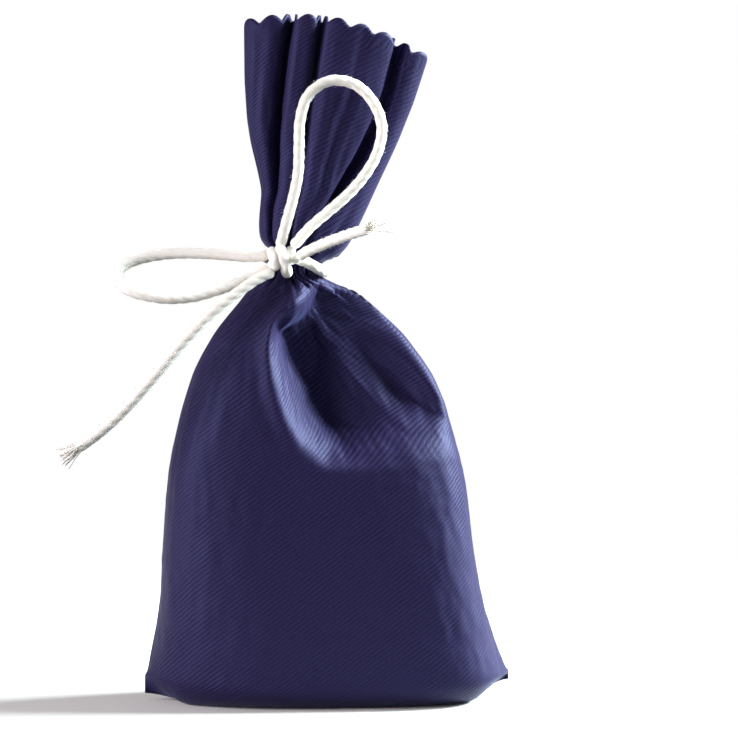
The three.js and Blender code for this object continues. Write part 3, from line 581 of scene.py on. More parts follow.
def head_row(place, side, across):
    """A row of the tied neck or of the open head above it"""
    table = np.array(HEAD, float)
    if place <= table[0, 0]:
        out = NECK_RADIUS * across
        x = out * math.cos(TIE_LEAN) + place * math.sin(TIE_LEAN)
        z = place * math.cos(TIE_LEAN) - out * math.sin(TIE_LEAN)
        depth = 2 * NECK_RADIUS
    else:
        columns = (np.interp(place, table[:, 0], table[:, k]) for k in range(1, 6))
        left_x, left_z, right_x, right_z, depth = columns
        share = (across + 1) / 2
        x = left_x + (right_x - left_x) * share
        z = left_z + (right_z - left_z) * share + HEAD_CROWN * (place / HEAD_LENGTH) * (1 - across ** 2)
        if side == BACK:
            z = z - HEAD_LAG * place / HEAD_LENGTH * np.clip(1 - across ** 2, 0, 1) ** 0.5
    y = side * depth / 2 * np.clip(1 - across ** 2, 0, 1) ** 0.45
    return np.stack([x, y, z], axis=1) + NECK


def loft_grid(side, shares, rows, lengths):
    """Points of the plain loft, before gathers and folds"""
    across = -np.cos(np.pi * shares)
    grid = np.zeros((len(rows), len(shares), 3))
    for r, (kind, place) in enumerate(rows):
        if kind == "body":
            grid[r] = body_row(place, side, across)
        elif kind == "head":
            grid[r] = head_row(place, side, across)
        else:
            grid[r] = foot_row(kind, place, side, across, lengths[r])
    return grid


def gather_height(side, shares, rows, grid):
    """Slits between the pleats of the head, which start at the tie and fade out just below it"""
    height = np.zeros((len(rows), len(shares)))
    for r, (kind, place) in enumerate(rows):
        if kind in ("under", "toe") or kind == "body" and place < NECK_FOOT - GATHER_REACH:
            continue
        along = lengths_along(grid[r])
        for gather in GATHERS[side]:
            table = np.array(gather, float)
            s = max(0, place) if kind == "head" else 0
            share, depth, width = (np.interp(s, table[:, 0], table[:, k]) for k in (1, 2, 3))
            if kind == "body":
                depth = depth * smoothstep(NECK_FOOT - GATHER_REACH, NECK_FOOT, place) ** 1.5
            off = np.abs(along - np.interp(share, shares, along))
            slit = np.clip(1 - off / width, 0, 1) ** 1.1
            dip = np.exp(-(off / (DIP_WIDTH * width)) ** 2)
            height[r] -= depth * (SLIT_SHARE * slit + (1 - SLIT_SHARE) * dip)
    return height


def nearest_on(line, x, below):
    """For each point: how far the line is, the nearest of its points, and whether that lies to the right"""
    gaps = np.hypot(x[..., None] - line[:, 0], below[..., None] - line[:, 1])
    near = gaps.argmin(axis=-1)
    course = np.gradient(line[:, :2], axis=0)[near]
    left = course[..., 0] * (below - line[near, 1]) - course[..., 1] * (x - line[near, 0]) > 0
    return gaps.min(axis=-1), near, left


def fold_height(grid):
    """Hollows, ridges and creases of the slack cloth below the tie"""
    x = grid[:, :, 0] - NECK[0]
    below = NECK[2] - grid[:, :, 2]
    height = np.zeros(x.shape)
    for hollow in HOLLOWS:
        line = smooth_line(hollow, FOLD_STEP)
        off, near, left = nearest_on(line, x, below)
        width = np.where(left, line[near, 3], line[near, 4])
        u = np.clip(off / width, 0, 1)
        height -= line[near, 2] * (1 - u * u) ** 2
    line = smooth_line(SUNK, FOLD_STEP)
    off, near, left = nearest_on(line, x, below)
    u = np.where(left, 0, np.clip(off / line[near, 2], 0, 1))
    share, low, high = SUNK_EASE
    slack = SUNK_DEPTH * smoothstep(*SUNK_START, below) * (1 - share * smoothstep(low, high, x))
    rounded = smoothstep(*SUNK_ROUNDED, x)
    height -= slack * (u ** 1.3 * (1 - rounded) + u * u * (3 - 2 * u) * rounded)
    for rise, width, points in RIDGES:
        line = smooth_line(points, FOLD_STEP)
        off, near, _ = nearest_on(line, x, below)
        fade = np.sin(np.pi * np.clip(near / (len(line) - 1), 0.06, 0.94)) ** 0.6
        height += rise * fade * np.exp(-(off / width) ** 2)
    return height


def scalloped(even, lengths):
    """The top rows pulled down between the scallops, and each point's length along the cloth"""
    drop = SCALLOP_DEPTH * (1 - np.abs(np.sin(np.pi * SCALLOPS * np.arange(COLUMNS + 1) / COLUMNS)))
    near_top = smoothstep(lengths[-1] - SCALLOP_REACH, lengths[-1], lengths)
    along = lengths[:, None] - drop[None, :] * near_top[:, None]
    cut = np.empty_like(even)
    for c in range(COLUMNS + 1):
        for k in range(3):
            cut[:, c, k] = np.interp(along[:, c], lengths, even[:, c, k])
    return cut, along


def gather_arcs(side, s, shares, along):
    """How far along a row each gather lies"""
    centres = [np.interp(s, np.array(gather)[:, 0], np.array(gather)[:, 1]) for gather in GATHERS[side]]
    return np.interp(centres, shares, along)


def row_places(side, rows, shares, alongs):
    """For each row, where the cloth's columns lie: each keeps its place between the same two gathers"""
    top = gather_arcs(side, HEAD_LENGTH, shares, alongs[-1]) / alongs[-1][-1]
    first = next(r for r, (kind, place) in enumerate(rows) if kind == "head" and place >= 0)
    tied = gather_arcs(side, 0, shares, alongs[first]) / alongs[first][-1]
    columns = np.linspace(0, 1, COLUMNS + 1)
    for (kind, place), along in zip(rows, alongs):
        if kind == "head" and place > 0:
            arcs = gather_arcs(side, place, shares, along) / along[-1]
        elif kind == "head":
            arcs = tied
        else:
            drawn = smoothstep(NECK_FOOT - DRAWN_REACH, NECK_FOOT, place) if kind == "body" else 0
            arcs = top + (tied - top) * drawn
        yield np.interp(columns, [0, *top, 1], [0, *arcs, 1]) * along[-1]


def gathered_panel(side, inset=0.0):
    """The panel's points as it hangs in the bag, evenly spaced along each row between its gathers"""
    rows, lengths = loft_rows()
    shares = np.linspace(0, 1, LOFT_POINTS)
    grid = loft_grid(side, shares, rows, lengths)
    normal = np.cross(np.gradient(grid, axis=1), np.gradient(grid, axis=0)) * -side
    normal /= np.linalg.norm(normal, axis=2, keepdims=True) + 1e-12
    rise = gather_height(side, shares, rows, grid)
    if side == FRONT:
        body = np.array([kind == "body" for kind, _ in rows])[:, None]
        folds = fold_height(grid) * body * np.sin(np.pi * shares) ** 0.35
    else:
        folds = np.zeros_like(rise)
    grid = grid + normal * (rise - inset)[..., None]
    grid[:, :, 1] += side * np.maximum(folds, -DEEPEST_FOLD * np.abs(grid[:, :, 1]))
    grid[:, :, 1] = side * np.maximum(0, side * grid[:, :, 1])
    alongs = row_runs(grid)
    even = np.zeros((ROWS + 1, COLUMNS + 1, 3))
    for r, places in enumerate(row_places(side, rows, shares, alongs)):
        even[r] = np.stack([np.interp(places, alongs[r], grid[r, :, k]) for k in range(3)], axis=1)
    return even, lengths


def column_lengths(hung, along):
    """Each point's length along its own column of the cloth, measured from the tie"""
    rows, _ = loft_rows()
    tie = next(r for r, (kind, _) in enumerate(rows) if kind == "head")
    steps = np.linalg.norm(np.diff(hung, axis=0), axis=2)
    run = np.concatenate([np.zeros((1, hung.shape[1])), np.cumsum(steps, axis=0)])
    run = run - run[tie] + along[tie]
    reach = 3 * COLUMN_BLUR
    weights = np.exp(-(np.arange(-reach, reach + 1) / COLUMN_BLUR) ** 2)
    before = 2 * run[:, :1] - run[:, reach:0:-1]
    after = 2 * run[:, -1:] - run[:, -2:-2 - reach:-1]
    padded = np.concatenate([before, run, after], axis=1)
    return np.array([np.convolve(row, weights / weights.sum(), mode="valid") for row in padded])


def fill_surface(inset):
    """Points and faces of the heap inside the bag, a little smaller than the cloth round it"""
    rows, _ = loft_rows()
    used = [
        r for r, (kind, place) in enumerate(rows)
        if kind in ("under", "toe") or kind == "body" and place < FILL_TOP
    ]
    front, back = (gathered_panel(side, inset)[0][used] for side in (FRONT, BACK))
    for edge in (0, -1):
        front[:, edge] = back[:, edge] = (front[:, edge] + back[:, edge]) / 2
    rings = np.concatenate([front[:, ::2], back[:, -3:0:-2]], axis=1)[::2]
    rings[:, :, 0] = np.clip(rings[:, :, 0], -FILL_REACH, FILL_REACH)
    count = rings.shape[1]
    crown = rings[-1].mean(axis=0) + np.array((0, 0, FILL_CROWN))
    points = [*rings.reshape(-1, 3), crown]
    faces = ring_faces(len(rings), count)
    last = (len(rings) - 1) * count
    faces.extend((last + k, last + (k + 1) % count, len(points) - 1) for k in range(count))
    return np.array(points) * MM, faces


def sewn_mesh(front, back):
    """One mesh of both panels with their seam points shared, and each panel's table of point numbers"""
    numbers = {FRONT: np.arange((ROWS + 1) * (COLUMNS + 1)).reshape(ROWS + 1, COLUMNS + 1)}
    numbers[BACK] = numbers[FRONT].copy()
    inner = numbers[BACK][1:, 1:-1]
    inner[...] = np.arange(inner.size).reshape(inner.shape) + numbers[FRONT].size
    points = np.zeros((numbers[FRONT].size + inner.size, 3))
    points[numbers[BACK]] = back
    points[numbers[FRONT]] = front
    faces = []
    for side in (FRONT, BACK):
        table = numbers[side]
        corners = (table[:-1, :-1], table[:-1, 1:], table[1:, 1:], table[1:, :-1])
        quads = np.stack(corners, axis=-1).reshape(-1, 4)
        faces.extend(map(tuple, quads if side == FRONT else quads[:, ::-1]))
    return points, faces, numbers


def cut_shape(hung, along):
    """The flat cloth that the panel wants to be: as long and as wide as it hangs, plus its slack"""
    run = row_runs(hung, SLACK)
    flat = np.zeros_like(hung)
    flat[:, :, 0] = run - run[:, -1:] / 2
    flat[:, :, 2] = column_lengths(hung, along)
    return flat


def held_points(numbers):
    """Numbers of the points that the floor, the tie and the side seams hold"""
    rows, _ = loft_rows()
    held = [
        r for r, (kind, place) in enumerate(rows)
        if kind == "under" or kind == "head" and place < NECK_BAND / 2
    ]
    tables = (numbers[FRONT][held], numbers[BACK][held], numbers[FRONT][:, [0, -1]])
    return np.unique(np.concatenate([table.ravel() for table in tables])).tolist()


def add_cloth(sewn, cut):
    """The cloth modifier: the cloth wants its cut shape, and stays where it is held"""
    cloth = sewn.modifiers.new("Cloth", "CLOTH")
    for key, value in CLOTH_SETTINGS.items():
        setattr(cloth.settings, key, value)
    cloth.settings.vertex_group_mass = "held"
    cloth.settings.rest_shape_key = cut
    cloth.settings.effector_weights.gravity = 0
    cloth.collision_settings.distance_min = CLOTH_GAP
    cloth.point_cache.frame_end = SIM_FRAMES


def relax_cloth(front, back, along):
    """Both panels after the sewn cloth has settled over the filling"""
    points, faces, numbers = sewn_mesh(front, back)
    flat = np.zeros_like(points)
    flat[numbers[BACK]] = cut_shape(back, along)
    flat[numbers[FRONT]] = cut_shape(front, along)
    sewn = mesh_object("sewn_cloth", points * SIM_SCALE, faces)
    sewn.shape_key_add(name="hung")
    cut = sewn.shape_key_add(name="cut")
    cut.data.foreach_set("co", (flat * SIM_SCALE).ravel())
    sewn.vertex_groups.new(name="held").add(held_points(numbers), 1.0, "REPLACE")
    add_cloth(sewn, cut)
    form_points, form_faces = fill_surface(FORM_INSET)
    form = mesh_object("filling_form", form_points * SIM_SCALE, form_faces)
    form.modifiers.new("Collision", "COLLISION")
    form.collision.thickness_outer = FORM_GAP
    scene = bpy.context.scene
    for number in range(1, SIM_FRAMES + 1):
        scene.frame_set(number)
    settled = sewn.evaluated_get(bpy.context.evaluated_depsgraph_get())
    out = np.zeros(len(points) * 3)
    settled.data.vertices.foreach_get("co", out)
    out = out.reshape(-1, 3) / SIM_SCALE
    out[:, 2] = np.maximum(out[:, 2], 0)
    scene.frame_set(1)
    for scratch in (sewn, form):
        mesh = scratch.data
        bpy.data.objects.remove(scratch)
        bpy.data.meshes.remove(mesh)
    return out[numbers[FRONT]], out[numbers[BACK]]


def draw_in_seams(shape):
    """The side seams lie in a shallow groove, pulled in by their thread from the toe up to the tie"""
    rows, _ = loft_rows()
    height = shape[:, 0, 2] / MM
    body = np.array([kind == "body" for kind, _ in rows])
    low, start, end, high = SEAM_SPAN
    pull = SEAM_GROOVE * MM * smoothstep(low, start, height) * (1 - smoothstep(end, high, height)) * body
    drawn = shape.copy()
    for column, way in ((0, 1), (-1, -1)):
        drawn[:, column, 0] += way * pull
        drawn[:, column + way, 0] += way * pull * 0.25
    return drawn


class SachetCloth(bpy.types.PropertyGroup):
    """Sizes and colours of the bag"""
    panel_width: bpy.props.FloatProperty(
        name="Panel width", description="Width of each panel as cut, between its seams",
        default=PANEL_WIDTH * MM, unit="LENGTH")
    thickness: bpy.props.FloatProperty(
        name="Cloth thickness", description="Thickness of the twill", default=0.0006, unit="LENGTH")
    rib_pitch: bpy.props.FloatProperty(
        name="Rib pitch", description="From one diagonal rib of the twill to the next",
        default=0.00096, unit="LENGTH")
    rib_angle: bpy.props.FloatProperty(
        name="Rib angle", description="Rise of the ribs across the cloth",
        default=math.radians(35), subtype="ANGLE")
    rib: bpy.props.FloatVectorProperty(
        name="Rib", description="Colour of the raised yarns",
        default=linear("2f264f")[:3], subtype="COLOR", size=3)
    # Darker than the rib: in the twill it is painted shade in the grooves, and the sewing thread uses it as
    # its darker tone
    groove: bpy.props.FloatVectorProperty(
        name="Groove", description="Colour between the ribs",
        default=linear("100b24")[:3], subtype="COLOR", size=3)
    sheen: bpy.props.FloatVectorProperty(
        name="Sheen", description="Tint of the cloth's soft sheen",
        default=linear("a2b6ff")[:3], subtype="COLOR", size=3)


class SachetCord(bpy.types.PropertyGroup):
    """Sizes and colours of the cord"""
    diameter: bpy.props.FloatProperty(
        name="Cord diameter", description="Thickness of the cotton cord", default=0.0027, unit="LENGTH")
    colour: bpy.props.FloatVectorProperty(
        name="Cotton", description="Colour of the natural cotton",
        default=linear("fffdf6")[:3], subtype="COLOR", size=3)


class SachetStage(bpy.types.PropertyGroup):
    """Camera and light"""
    azimuth: bpy.props.FloatProperty(
        name="Azimuth", description="Turn of the camera to the right of the front",
        default=math.radians(-4), subtype="ANGLE")
    elevation: bpy.props.FloatProperty(
        name="Elevation", description="Rise of the camera above level",
        default=math.radians(4), subtype="ANGLE")
    distance: bpy.props.FloatProperty(
        name="Distance", description="From the camera to the middle of the bag", default=0.8, unit="LENGTH")
    key_power: bpy.props.FloatProperty(
        name="Key light", description="Power of the lamp on the right", default=31, unit="POWER")
    fill_power: bpy.props.FloatProperty(
        name="Fill light", description="Power of the lamp on the left", default=10, unit="POWER")
    sky: bpy.props.FloatProperty(
        name="Sky", description="Strength of the light from all round", default=0.19)


def twill_material(cloth):
    """Indigo cotton twill: raised diagonal ribs of dyed yarn over grooves painted darker as shade, with a
    soft sheen
    """
    material, tree, shader = new_material("indigo_cotton_twill")
    cut = add_node(tree, "ShaderNodeUVMap", uv_map="cut").outputs["UV"]
    turn = add_node(tree, "ShaderNodeMapping", {"Vector": cut, "Rotation": (0, 0, -cloth.rib_angle)})
    split = add_node(tree, "ShaderNodeSeparateXYZ", {"Vector": turn.outputs["Vector"]})
    wobble = add_node(tree, "ShaderNodeTexNoise", {"Vector": cut, "Scale": 1 / 0.006, "Detail": 2})
    shift = add_node(tree, "ShaderNodeMath", {0: wobble.outputs["Fac"], 1: 0.5}, operation="MULTIPLY")
    rows = add_node(tree, "ShaderNodeMath", {
        0: split.outputs["Y"], 1: 1 / cloth.rib_pitch, 2: shift.outputs[0]}, operation="MULTIPLY_ADD")
    phase = add_node(tree, "ShaderNodeMath", {0: rows.outputs[0], 1: 2 * math.pi}, operation="MULTIPLY")
    wave = add_node(tree, "ShaderNodeMath", {0: phase.outputs[0]}, operation="SINE")
    rib = add_node(tree, "ShaderNodeMapRange", {
        "Value": wave.outputs[0], "From Min": -0.9, "From Max": 0.7}, interpolation_type="SMOOTHSTEP")
    stretch = add_node(tree, "ShaderNodeMapping", {
        "Vector": turn.outputs["Vector"], "Scale": (1 / 0.0009, 1 / (cloth.rib_pitch * 0.4), 1)})
    yarn = add_node(tree, "ShaderNodeTexNoise", {
        "Vector": stretch.outputs["Vector"], "Scale": 1, "Detail": 4, "Roughness": 0.75})
    fade = add_node(tree, "ShaderNodeTexNoise", {"Vector": cut, "Scale": 1 / 0.007, "Detail": 5})
    floats = add_node(tree, "ShaderNodeMapRange", {
        "Value": yarn.outputs["Fac"], "From Min": 0.3, "From Max": 0.7})
    worn = add_node(tree, "ShaderNodeMapRange", {
        "Value": fade.outputs["Fac"], "From Min": 0.3, "From Max": 0.7, "To Min": 0.35})
    height = add_node(tree, "ShaderNodeMix", {
        "Factor": worn.outputs["Result"], "A": floats.outputs["Result"], "B": rib.outputs["Result"],
    }, data_type="FLOAT")
    amount = add_node(tree, "ShaderNodeMath", {
        0: floats.outputs["Result"], 1: 0.4, 2: height.outputs[0]}, operation="MULTIPLY_ADD")
    share = add_node(tree, "ShaderNodeMath", {0: amount.outputs[0], 1: 0.72}, operation="MULTIPLY")
    # The colour follows the ribs' height: the grooves get painted shade between the ribs, over the yarns'
    # own patchy tone
    colour = add_node(tree, "ShaderNodeMix", {
        "Factor": share.outputs[0], "A": (*cloth.groove, 1), "B": (*cloth.rib, 1)}, data_type="RGBA")
    bump = add_node(tree, "ShaderNodeBump", {
        "Height": height.outputs[0], "Strength": 0.75, "Distance": 0.00009})
    feed(tree, shader, {
        "Base Color": colour.outputs["Result"], "Normal": bump.outputs["Normal"], "Roughness": 0.55,
        "IOR": 1.45, "Specular IOR Level": 0.32, "Specular Tint": (*cloth.sheen, 1),
        "Sheen Weight": 0.09, "Sheen Roughness": 0.35, "Sheen Tint": (*cloth.sheen, 1),
    })
    return material


def cotton_material(cord):
    """Natural cotton cord: soft off-white fibre, matt and finely mottled"""
    material, tree, shader = new_material("natural_cotton_cord")
    place = add_node(tree, "ShaderNodeTexCoord").outputs["Object"]
    fibre = add_node(tree, "ShaderNodeTexNoise", {"Vector": place, "Scale": 1 / 0.0006, "Detail": 4})
    ramp = add_node(tree, "ShaderNodeMapRange", {"Value": fibre.outputs["Fac"], "To Max": 0.5})
    colour = add_node(tree, "ShaderNodeMix", {
        "Factor": ramp.outputs["Result"], "A": (*cord.colour, 1), "B": linear("f0ebdf")}, data_type="RGBA")
    bump = add_node(tree, "ShaderNodeBump", {
        "Height": fibre.outputs["Fac"], "Strength": 0.5, "Distance": 0.00015})
    feed(tree, shader, {
        "Base Color": colour.outputs["Result"], "Normal": bump.outputs["Normal"], "Roughness": 0.9,
        "Subsurface Weight": 0.35, "Subsurface Radius": (1.0, 0.95, 0.85), "Subsurface Scale": 0.0012,
        "Sheen Weight": 0.25, "Sheen Roughness": 0.5,
    })
    return material


def thread_material(cloth):
    """Spun sewing thread: dyed as dark as the cloth, with lighter and darker places along it"""
    material, tree, shader = new_material("indigo_sewing_thread")
    place = add_node(tree, "ShaderNodeTexCoord").outputs["Object"]
    twist = add_node(tree, "ShaderNodeTexNoise", {"Vector": place, "Scale": 1 / 0.0012, "Detail": 3})
    colour = add_node(tree, "ShaderNodeMix", {
        "Factor": twist.outputs["Fac"], "A": (*cloth.groove, 1), "B": (*cloth.rib, 1)}, data_type="RGBA")
    feed(tree, shader, {"Base Color": colour.outputs["Result"], "Roughness": 0.6})
    return material


def bud_material():
    """Dried lavender buds: small rounded husks, grey violet to straw, with painted shade where they meet"""
    material, tree, shader = new_material("dried_lavender_buds")
    place = add_node(tree, "ShaderNodeTexCoord").outputs["Object"]
    husks = add_node(tree, "ShaderNodeTexVoronoi", {"Vector": place, "Scale": 1 / BUD_SIZE})
    tint = add_node(tree, "ShaderNodeSeparateColor", {"Color": husks.outputs["Color"]})
    colour = add_node(tree, "ShaderNodeMix", {
        "Factor": tint.outputs[0], "A": linear("6f6688"), "B": linear("a08f78")}, data_type="RGBA")
    # Painted shade: darker towards the edge of each husk, where the buds meet
    painted_gap_shade = add_node(tree, "ShaderNodeMapRange", {
        "Value": husks.outputs["Distance"], "From Min": 0.2, "From Max": 0.7})
    shaded = add_node(tree, "ShaderNodeMix", {
        "Factor": painted_gap_shade.outputs["Result"], "A": colour.outputs["Result"], "B": linear("3a3033"),
    }, data_type="RGBA")
    bump = add_node(tree, "ShaderNodeBump", {
        "Height": husks.outputs["Distance"], "Distance": BUD_SIZE / 3}, invert=True)
    feed(tree, shader, {
        "Base Color": shaded.outputs["Result"], "Normal": bump.outputs["Normal"], "Roughness": 0.95})
    return material


class SACHET_OT_camera(bpy.types.Operator):
    """Adds the camera at the photograph's viewing angle"""
    bl_idname = "sachet.camera"
    bl_label = "Camera"

    def execute(self, context):
        stage = context.scene.sachet_stage
        back = Vector((
            math.sin(stage.azimuth) * math.cos(stage.elevation),
            -math.cos(stage.azimuth) * math.cos(stage.elevation),
            math.sin(stage.elevation),
        ))
        right = Vector((math.cos(stage.azimuth), math.sin(stage.azimuth), 0))
        middle = AIM + right * AIM_RIGHT - back.cross(right) * AIM_DOWN
        deselect()
        bpy.ops.object.camera_add(location=middle + back * stage.distance)
        camera = context.object
        camera.name = "camera"
        camera.rotation_euler = back.to_track_quat("Z", "Y").to_euler()
        camera.data.lens = SENSOR * FOCAL_PIXELS / PICTURE_PIXELS
        camera.data.sensor_width = SENSOR
        camera.data.clip_start = 0.01
        context.scene.camera = camera
        return {"FINISHED"}


class SACHET_OT_bow(bpy.types.Operator):
    """Adds the bow's two loops and two tails, each a free stretch of the cord"""
    bl_idname = "sachet.bow"
    bl_label = "Bow loops and tails"

    def execute(self, context):
        cord = context.scene.sachet_cord
        cotton = cotton_material(cord)
        chance = random.Random(7)
        for name, route, far_end, yarns in STRETCHES:
            line = (smooth_line(route, CORD_STEP) + KNOT) * MM
            points, faces = cord_tube(line, cord.diameter, **CORD_LAY)
            add_hairs(points, faces, line, cord.diameter, *BOW_HAIRS, chance)
            piece = mesh_object(name + "_cord", points, faces)
            finish_piece(piece, name, cotton)
            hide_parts(name)
            if yarns:
                fray = mesh_object(name + "_fray", *frayed_yarns(line, cord.diameter, yarns, chance))
                finish_piece(fray, name, cotton)
        return {"FINISHED"}


class SACHET_OT_tie(bpy.types.Operator):
    """Adds the turn of cord round the neck and the knot"""
    bl_idname = "sachet.tie"
    bl_label = "Neck wrap and knot"

    def execute(self, context):
        cord = context.scene.sachet_cord
        cotton = bpy.data.materials["natural_cotton_cord"]
        chance = random.Random(11)
        from_knot = np.minimum(WRAP_TURNS - KNOT_TURN, 2 * math.pi + KNOT_TURN - WRAP_TURNS)
        climb = WRAP_CLIMB * (1 - smoothstep(*CLIMB_FADE, from_knot))
        ring = np.stack(
            [WRAP_RADIUS * np.sin(WRAP_TURNS), -WRAP_RADIUS * np.cos(WRAP_TURNS), climb], axis=1)
        line = smooth_line((ring @ LEAN_TURN.T + NECK) * MM, CORD_STEP * MM)
        points, faces = cord_tube(line, cord.diameter, **CORD_LAY)
        add_hairs(points, faces, line, cord.diameter, *WRAP_HAIRS, chance)
        wrap = mesh_object("neck_wrap_cord", points, faces)
        finish_piece(wrap, "bag", cotton)
        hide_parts("neck_wrap")
        points, faces = [], []
        for route in KNOT_STRANDS:
            line = (smooth_line(route, KNOT_STEP) + KNOT) * MM
            join_mesh(points, faces, *cord_tube(line, cord.diameter, **CORD_LAY))
        knot = mesh_object("bow_knot_cord", points, faces)
        finish_piece(knot, "bag", cotton)
        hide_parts("bow_knot")
        return {"FINISHED"}


class SACHET_OT_panels(bpy.types.Operator):
    """Adds the two cloth panels, sewn together and gathered at the neck"""
    bl_idname = "sachet.panels"
    bl_label = "Cloth panels"

    def execute(self, context):
        cloth = context.scene.sachet_cloth
        twill = twill_material(cloth)
        shapes = {}
        for side in (FRONT, BACK):
            even, lengths = gathered_panel(side)
            shapes[side], along = scalloped(even, lengths)
            shapes[side] = shapes[side] * MM
        along = along * MM
        shapes[FRONT], shapes[BACK] = relax_cloth(shapes[FRONT], shapes[BACK], along)
        for side, name in ((FRONT, "front_panel"), (BACK, "back_panel")):
            deselect()
            bpy.ops.mesh.primitive_grid_add(
                x_subdivisions=COLUMNS, y_subdivisions=ROWS, size=1, calc_uvs=True)
            panel = context.object
            panel.name = name + "_twill"
            self.shape(panel, draw_in_seams(shapes[side]), along, side)
            subdivide = panel.modifiers.new("Smooth", "SUBSURF")
            subdivide.levels = subdivide.render_levels = 1
            solid = panel.modifiers.new("Cloth", "SOLIDIFY")
            solid.thickness = cloth.thickness
            solid.offset = -1
            apply_modifiers(panel)
            finish_piece(panel, "bag", twill)
            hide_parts(name)
        return {"FINISHED"}

    def shape(self, panel, hung, along, side):
        """The flat grid's points moved to where the cloth hangs, with the cut's own UV map in metres"""
        mesh = panel.data
        flat = np.zeros(len(mesh.vertices) * 3)
        mesh.vertices.foreach_get("co", flat)
        flat = flat.reshape(-1, 3) + 0.5
        columns = np.rint(flat[:, 0] * COLUMNS).astype(int)
        rows = np.rint(flat[:, 1] * ROWS).astype(int)
        mesh.vertices.foreach_set("co", hung[rows, columns].ravel())
        uv = mesh.uv_layers[0]
        uv.name = "cut"
        corners = np.zeros(len(mesh.loops), dtype=int)
        mesh.loops.foreach_get("vertex_index", corners)
        run = row_runs(hung)
        run = run - run[:, COLUMNS // 2, None]
        places = np.stack([run[rows, columns], along[rows, columns]], axis=1)[corners]
        uv.data.foreach_set("uv", places.ravel())
        if side == BACK:
            mesh.flip_normals()
        mesh.update()


class SACHET_OT_seams(bpy.types.Operator):
    """Adds the rows of stitches that close the bag's sides and bottom"""
    bl_idname = "sachet.seams"
    bl_label = "Seam stitches"

    def execute(self, context):
        thread = thread_material(context.scene.sachet_cloth)
        shape = draw_in_seams(scalloped(*gathered_panel(FRONT))[0] * MM)
        seams = {
            "left_seam_thread": shape[SIDE_ENDS:-SIDE_ENDS, 0] + (STITCH_INSET * MM, 0, 0),
            "right_seam_thread": shape[SIDE_ENDS:-SIDE_ENDS, -1] - (STITCH_INSET * MM, 0, 0),
            "bottom_seam_thread": shape[0, BOTTOM_ENDS:-BOTTOM_ENDS] + (0, 0, STITCH_INSET * MM),
        }
        for name, seam in seams.items():
            points, faces = [], []
            line = smooth_line(seam, STITCH_LENGTH * MM / (STITCH_POINTS - 1))
            for start in range(0, len(line) - STITCH_POINTS + 1, STITCH_POINTS):
                stitch = line[start:start + STITCH_POINTS]
                join_mesh(points, faces, *cord_tube(stitch, THREAD_DIAMETER * MM, **YARN_LAY))
            row = mesh_object(name + "_stitches", points, faces)
            finish_piece(row, "bag", thread)
            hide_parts(name)
        return {"FINISHED"}


class SACHET_OT_fill(bpy.types.Operator):
    """Finishes the filling inside the bag"""
    bl_idname = "sachet.fill"
    bl_label = "Lavender filling"

    def execute(self, context):
        heap = mesh_object("lavender_heap", *fill_surface(HEAP_INSET))
        finish_piece(heap, "bag", bud_material())
        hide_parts("lavender_fill")
        return {"FINISHED"}


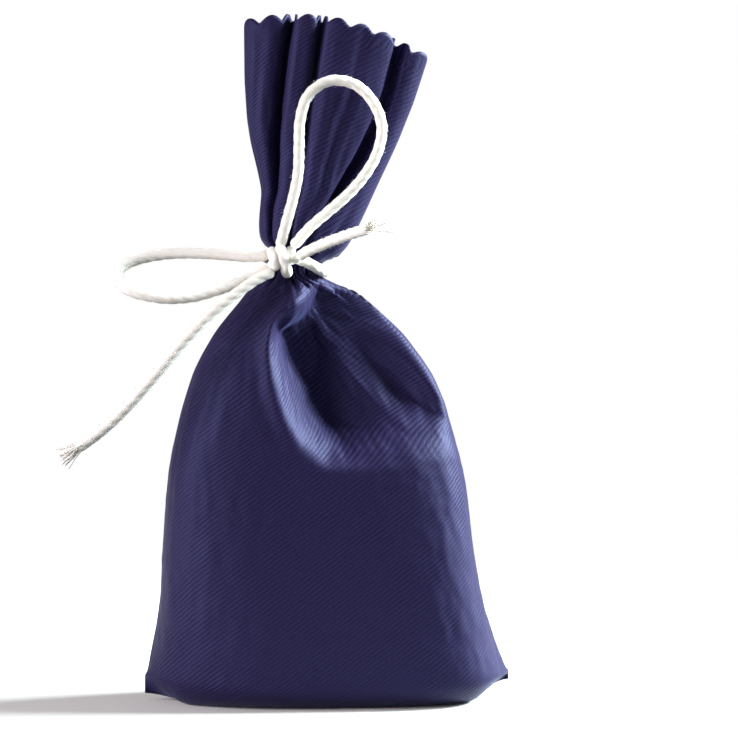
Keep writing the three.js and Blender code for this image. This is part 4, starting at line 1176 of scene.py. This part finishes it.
class SACHET_OT_stage(bpy.types.Operator):
    """Adds the pale floor, the soft lamps and the sky"""
    bl_idname = "sachet.stage"
    bl_label = "Floor and light"

    def execute(self, context):
        stage = context.scene.sachet_stage
        deselect()
        bpy.ops.mesh.primitive_plane_add(size=FLOOR_SIZE, location=(0, 0, 0))
        floor = context.object
        floor.name = "floor"
        floor.data.materials.append(self.floor_material())
        for lamp, power in zip(LAMPS, (stage.key_power, stage.fill_power)):
            self.lamp(*lamp, power)
        self.sky(context.scene, stage.sky)
        context.scene.view_settings.view_transform = "Standard"
        return {"FINISHED"}

    def floor_material(self):
        """Matt board, pale to the camera and to reflections but dark as painted shade to light that bounces
        off it, that takes the shadow and runs out to plain white
        """
        material, tree, shader = new_material("white_board")
        place = add_node(tree, "ShaderNodeTexCoord").outputs["Object"]
        far = add_node(tree, "ShaderNodeVectorMath", {0: place}, operation="LENGTH")
        edge = add_node(tree, "ShaderNodeMapRange", {
            "Value": far.outputs["Value"], "From Min": 0.08, "From Max": 0.3,
        }, interpolation_type="SMOOTHSTEP")
        ray = add_node(tree, "ShaderNodeLightPath").outputs
        seen = add_node(tree, "ShaderNodeMath", {
            0: ray["Is Camera Ray"], 1: ray["Is Glossy Ray"]}, operation="MAXIMUM")
        through = add_node(tree, "ShaderNodeMath", {
            0: seen.outputs[0], 1: ray["Is Transmission Ray"]}, operation="MAXIMUM")
        share = add_node(tree, "ShaderNodeMath", {
            0: through.outputs[0], 1: edge.outputs["Result"]}, operation="MULTIPLY")
        # Painted shade: the board is dark to light that bounces off it, which keeps the bag's base in
        # shade, and pale where it is seen
        board = add_node(tree, "ShaderNodeMix", {
            "Factor": through.outputs[0], "A": linear("3c3a38"), "B": linear("f6f6f4")}, data_type="RGBA")
        feed(tree, shader, {"Base Color": board.outputs["Result"], "Roughness": 0.9})
        white = add_node(tree, "ShaderNodeEmission", {"Color": linear("ffffff"), "Strength": 1.0})
        mix = add_node(tree, "ShaderNodeMixShader", {
            0: share.outputs[0], 1: shader.outputs["BSDF"], 2: white.outputs[0]})
        output = next(node for node in tree.nodes if node.type == "OUTPUT_MATERIAL")
        feed(tree, output, {"Surface": mix.outputs[0]})
        return material

    def lamp(self, name, place, size, colour, power):
        """A square lamp that faces the bag"""
        deselect()
        bpy.ops.object.light_add(type="AREA", location=place)
        lamp = bpy.context.object
        lamp.name = name
        lamp.rotation_euler = (Vector(place) - LAMP_TARGET).to_track_quat("Z", "Y").to_euler()
        lamp.data.size = size
        lamp.data.color = linear(colour)[:3]
        lamp.data.energy = power

    def sky(self, scene, strength):
        """Even light from all round, seen by the camera as white"""
        world = bpy.data.worlds.new("sky")
        world.use_nodes = True
        tree = world.node_tree
        tree.nodes.clear()
        ray = add_node(tree, "ShaderNodeLightPath")
        soft = add_node(tree, "ShaderNodeBackground", {"Color": linear("ffffff"), "Strength": strength})
        white = add_node(tree, "ShaderNodeBackground", {"Color": linear("ffffff"), "Strength": 1.0})
        mix = add_node(tree, "ShaderNodeMixShader", {
            0: ray.outputs["Is Camera Ray"], 1: soft.outputs[0], 2: white.outputs[0]})
        add_node(tree, "ShaderNodeOutputWorld", {"Surface": mix.outputs[0]})
        scene.world = world


class SACHET_PT_panel(bpy.types.Panel):
    """Lists the sachet's sizes and pieces"""
    bl_idname = "SACHET_PT_panel"
    bl_label = "Lavender Sachet"
    bl_space_type = "VIEW_3D"
    bl_region_type = "UI"
    bl_category = "Sachet"

    def draw(self, context):
        layout = self.layout
        for group in (context.scene.sachet_cloth, context.scene.sachet_cord, context.scene.sachet_stage):
            box = layout.box()
            for key in group.__annotations__:
                box.prop(group, key)
        for operator in OPERATORS:
            layout.operator(operator.bl_idname)


OPERATORS = (
    SACHET_OT_camera, SACHET_OT_bow, SACHET_OT_tie, SACHET_OT_fill, SACHET_OT_panels, SACHET_OT_seams,
    SACHET_OT_stage,
)
GROUPS = {"sachet_cloth": SachetCloth, "sachet_cord": SachetCord, "sachet_stage": SachetStage}
CLASSES = (*GROUPS.values(), *OPERATORS, SACHET_PT_panel)


def register():
    """Adds the add-on's classes and its settings on the scene"""
    for cls in CLASSES:
        bpy.utils.register_class(cls)
    for name, group in GROUPS.items():
        setattr(bpy.types.Scene, name, bpy.props.PointerProperty(type=group))


def unregister():
    """Takes away what register added"""
    for name in GROUPS:
        delattr(bpy.types.Scene, name)
    for cls in reversed(CLASSES):
        bpy.utils.unregister_class(cls)


def main():
    """Adds every piece and the stage"""
    register()
    bpy.ops.sachet.camera()
    bpy.ops.sachet.bow()
    bpy.ops.sachet.tie()
    bpy.ops.sachet.fill()
    bpy.ops.sachet.panels()
    bpy.ops.sachet.seams()
    bpy.ops.sachet.stage()


if __name__ == "__main__":
    main()
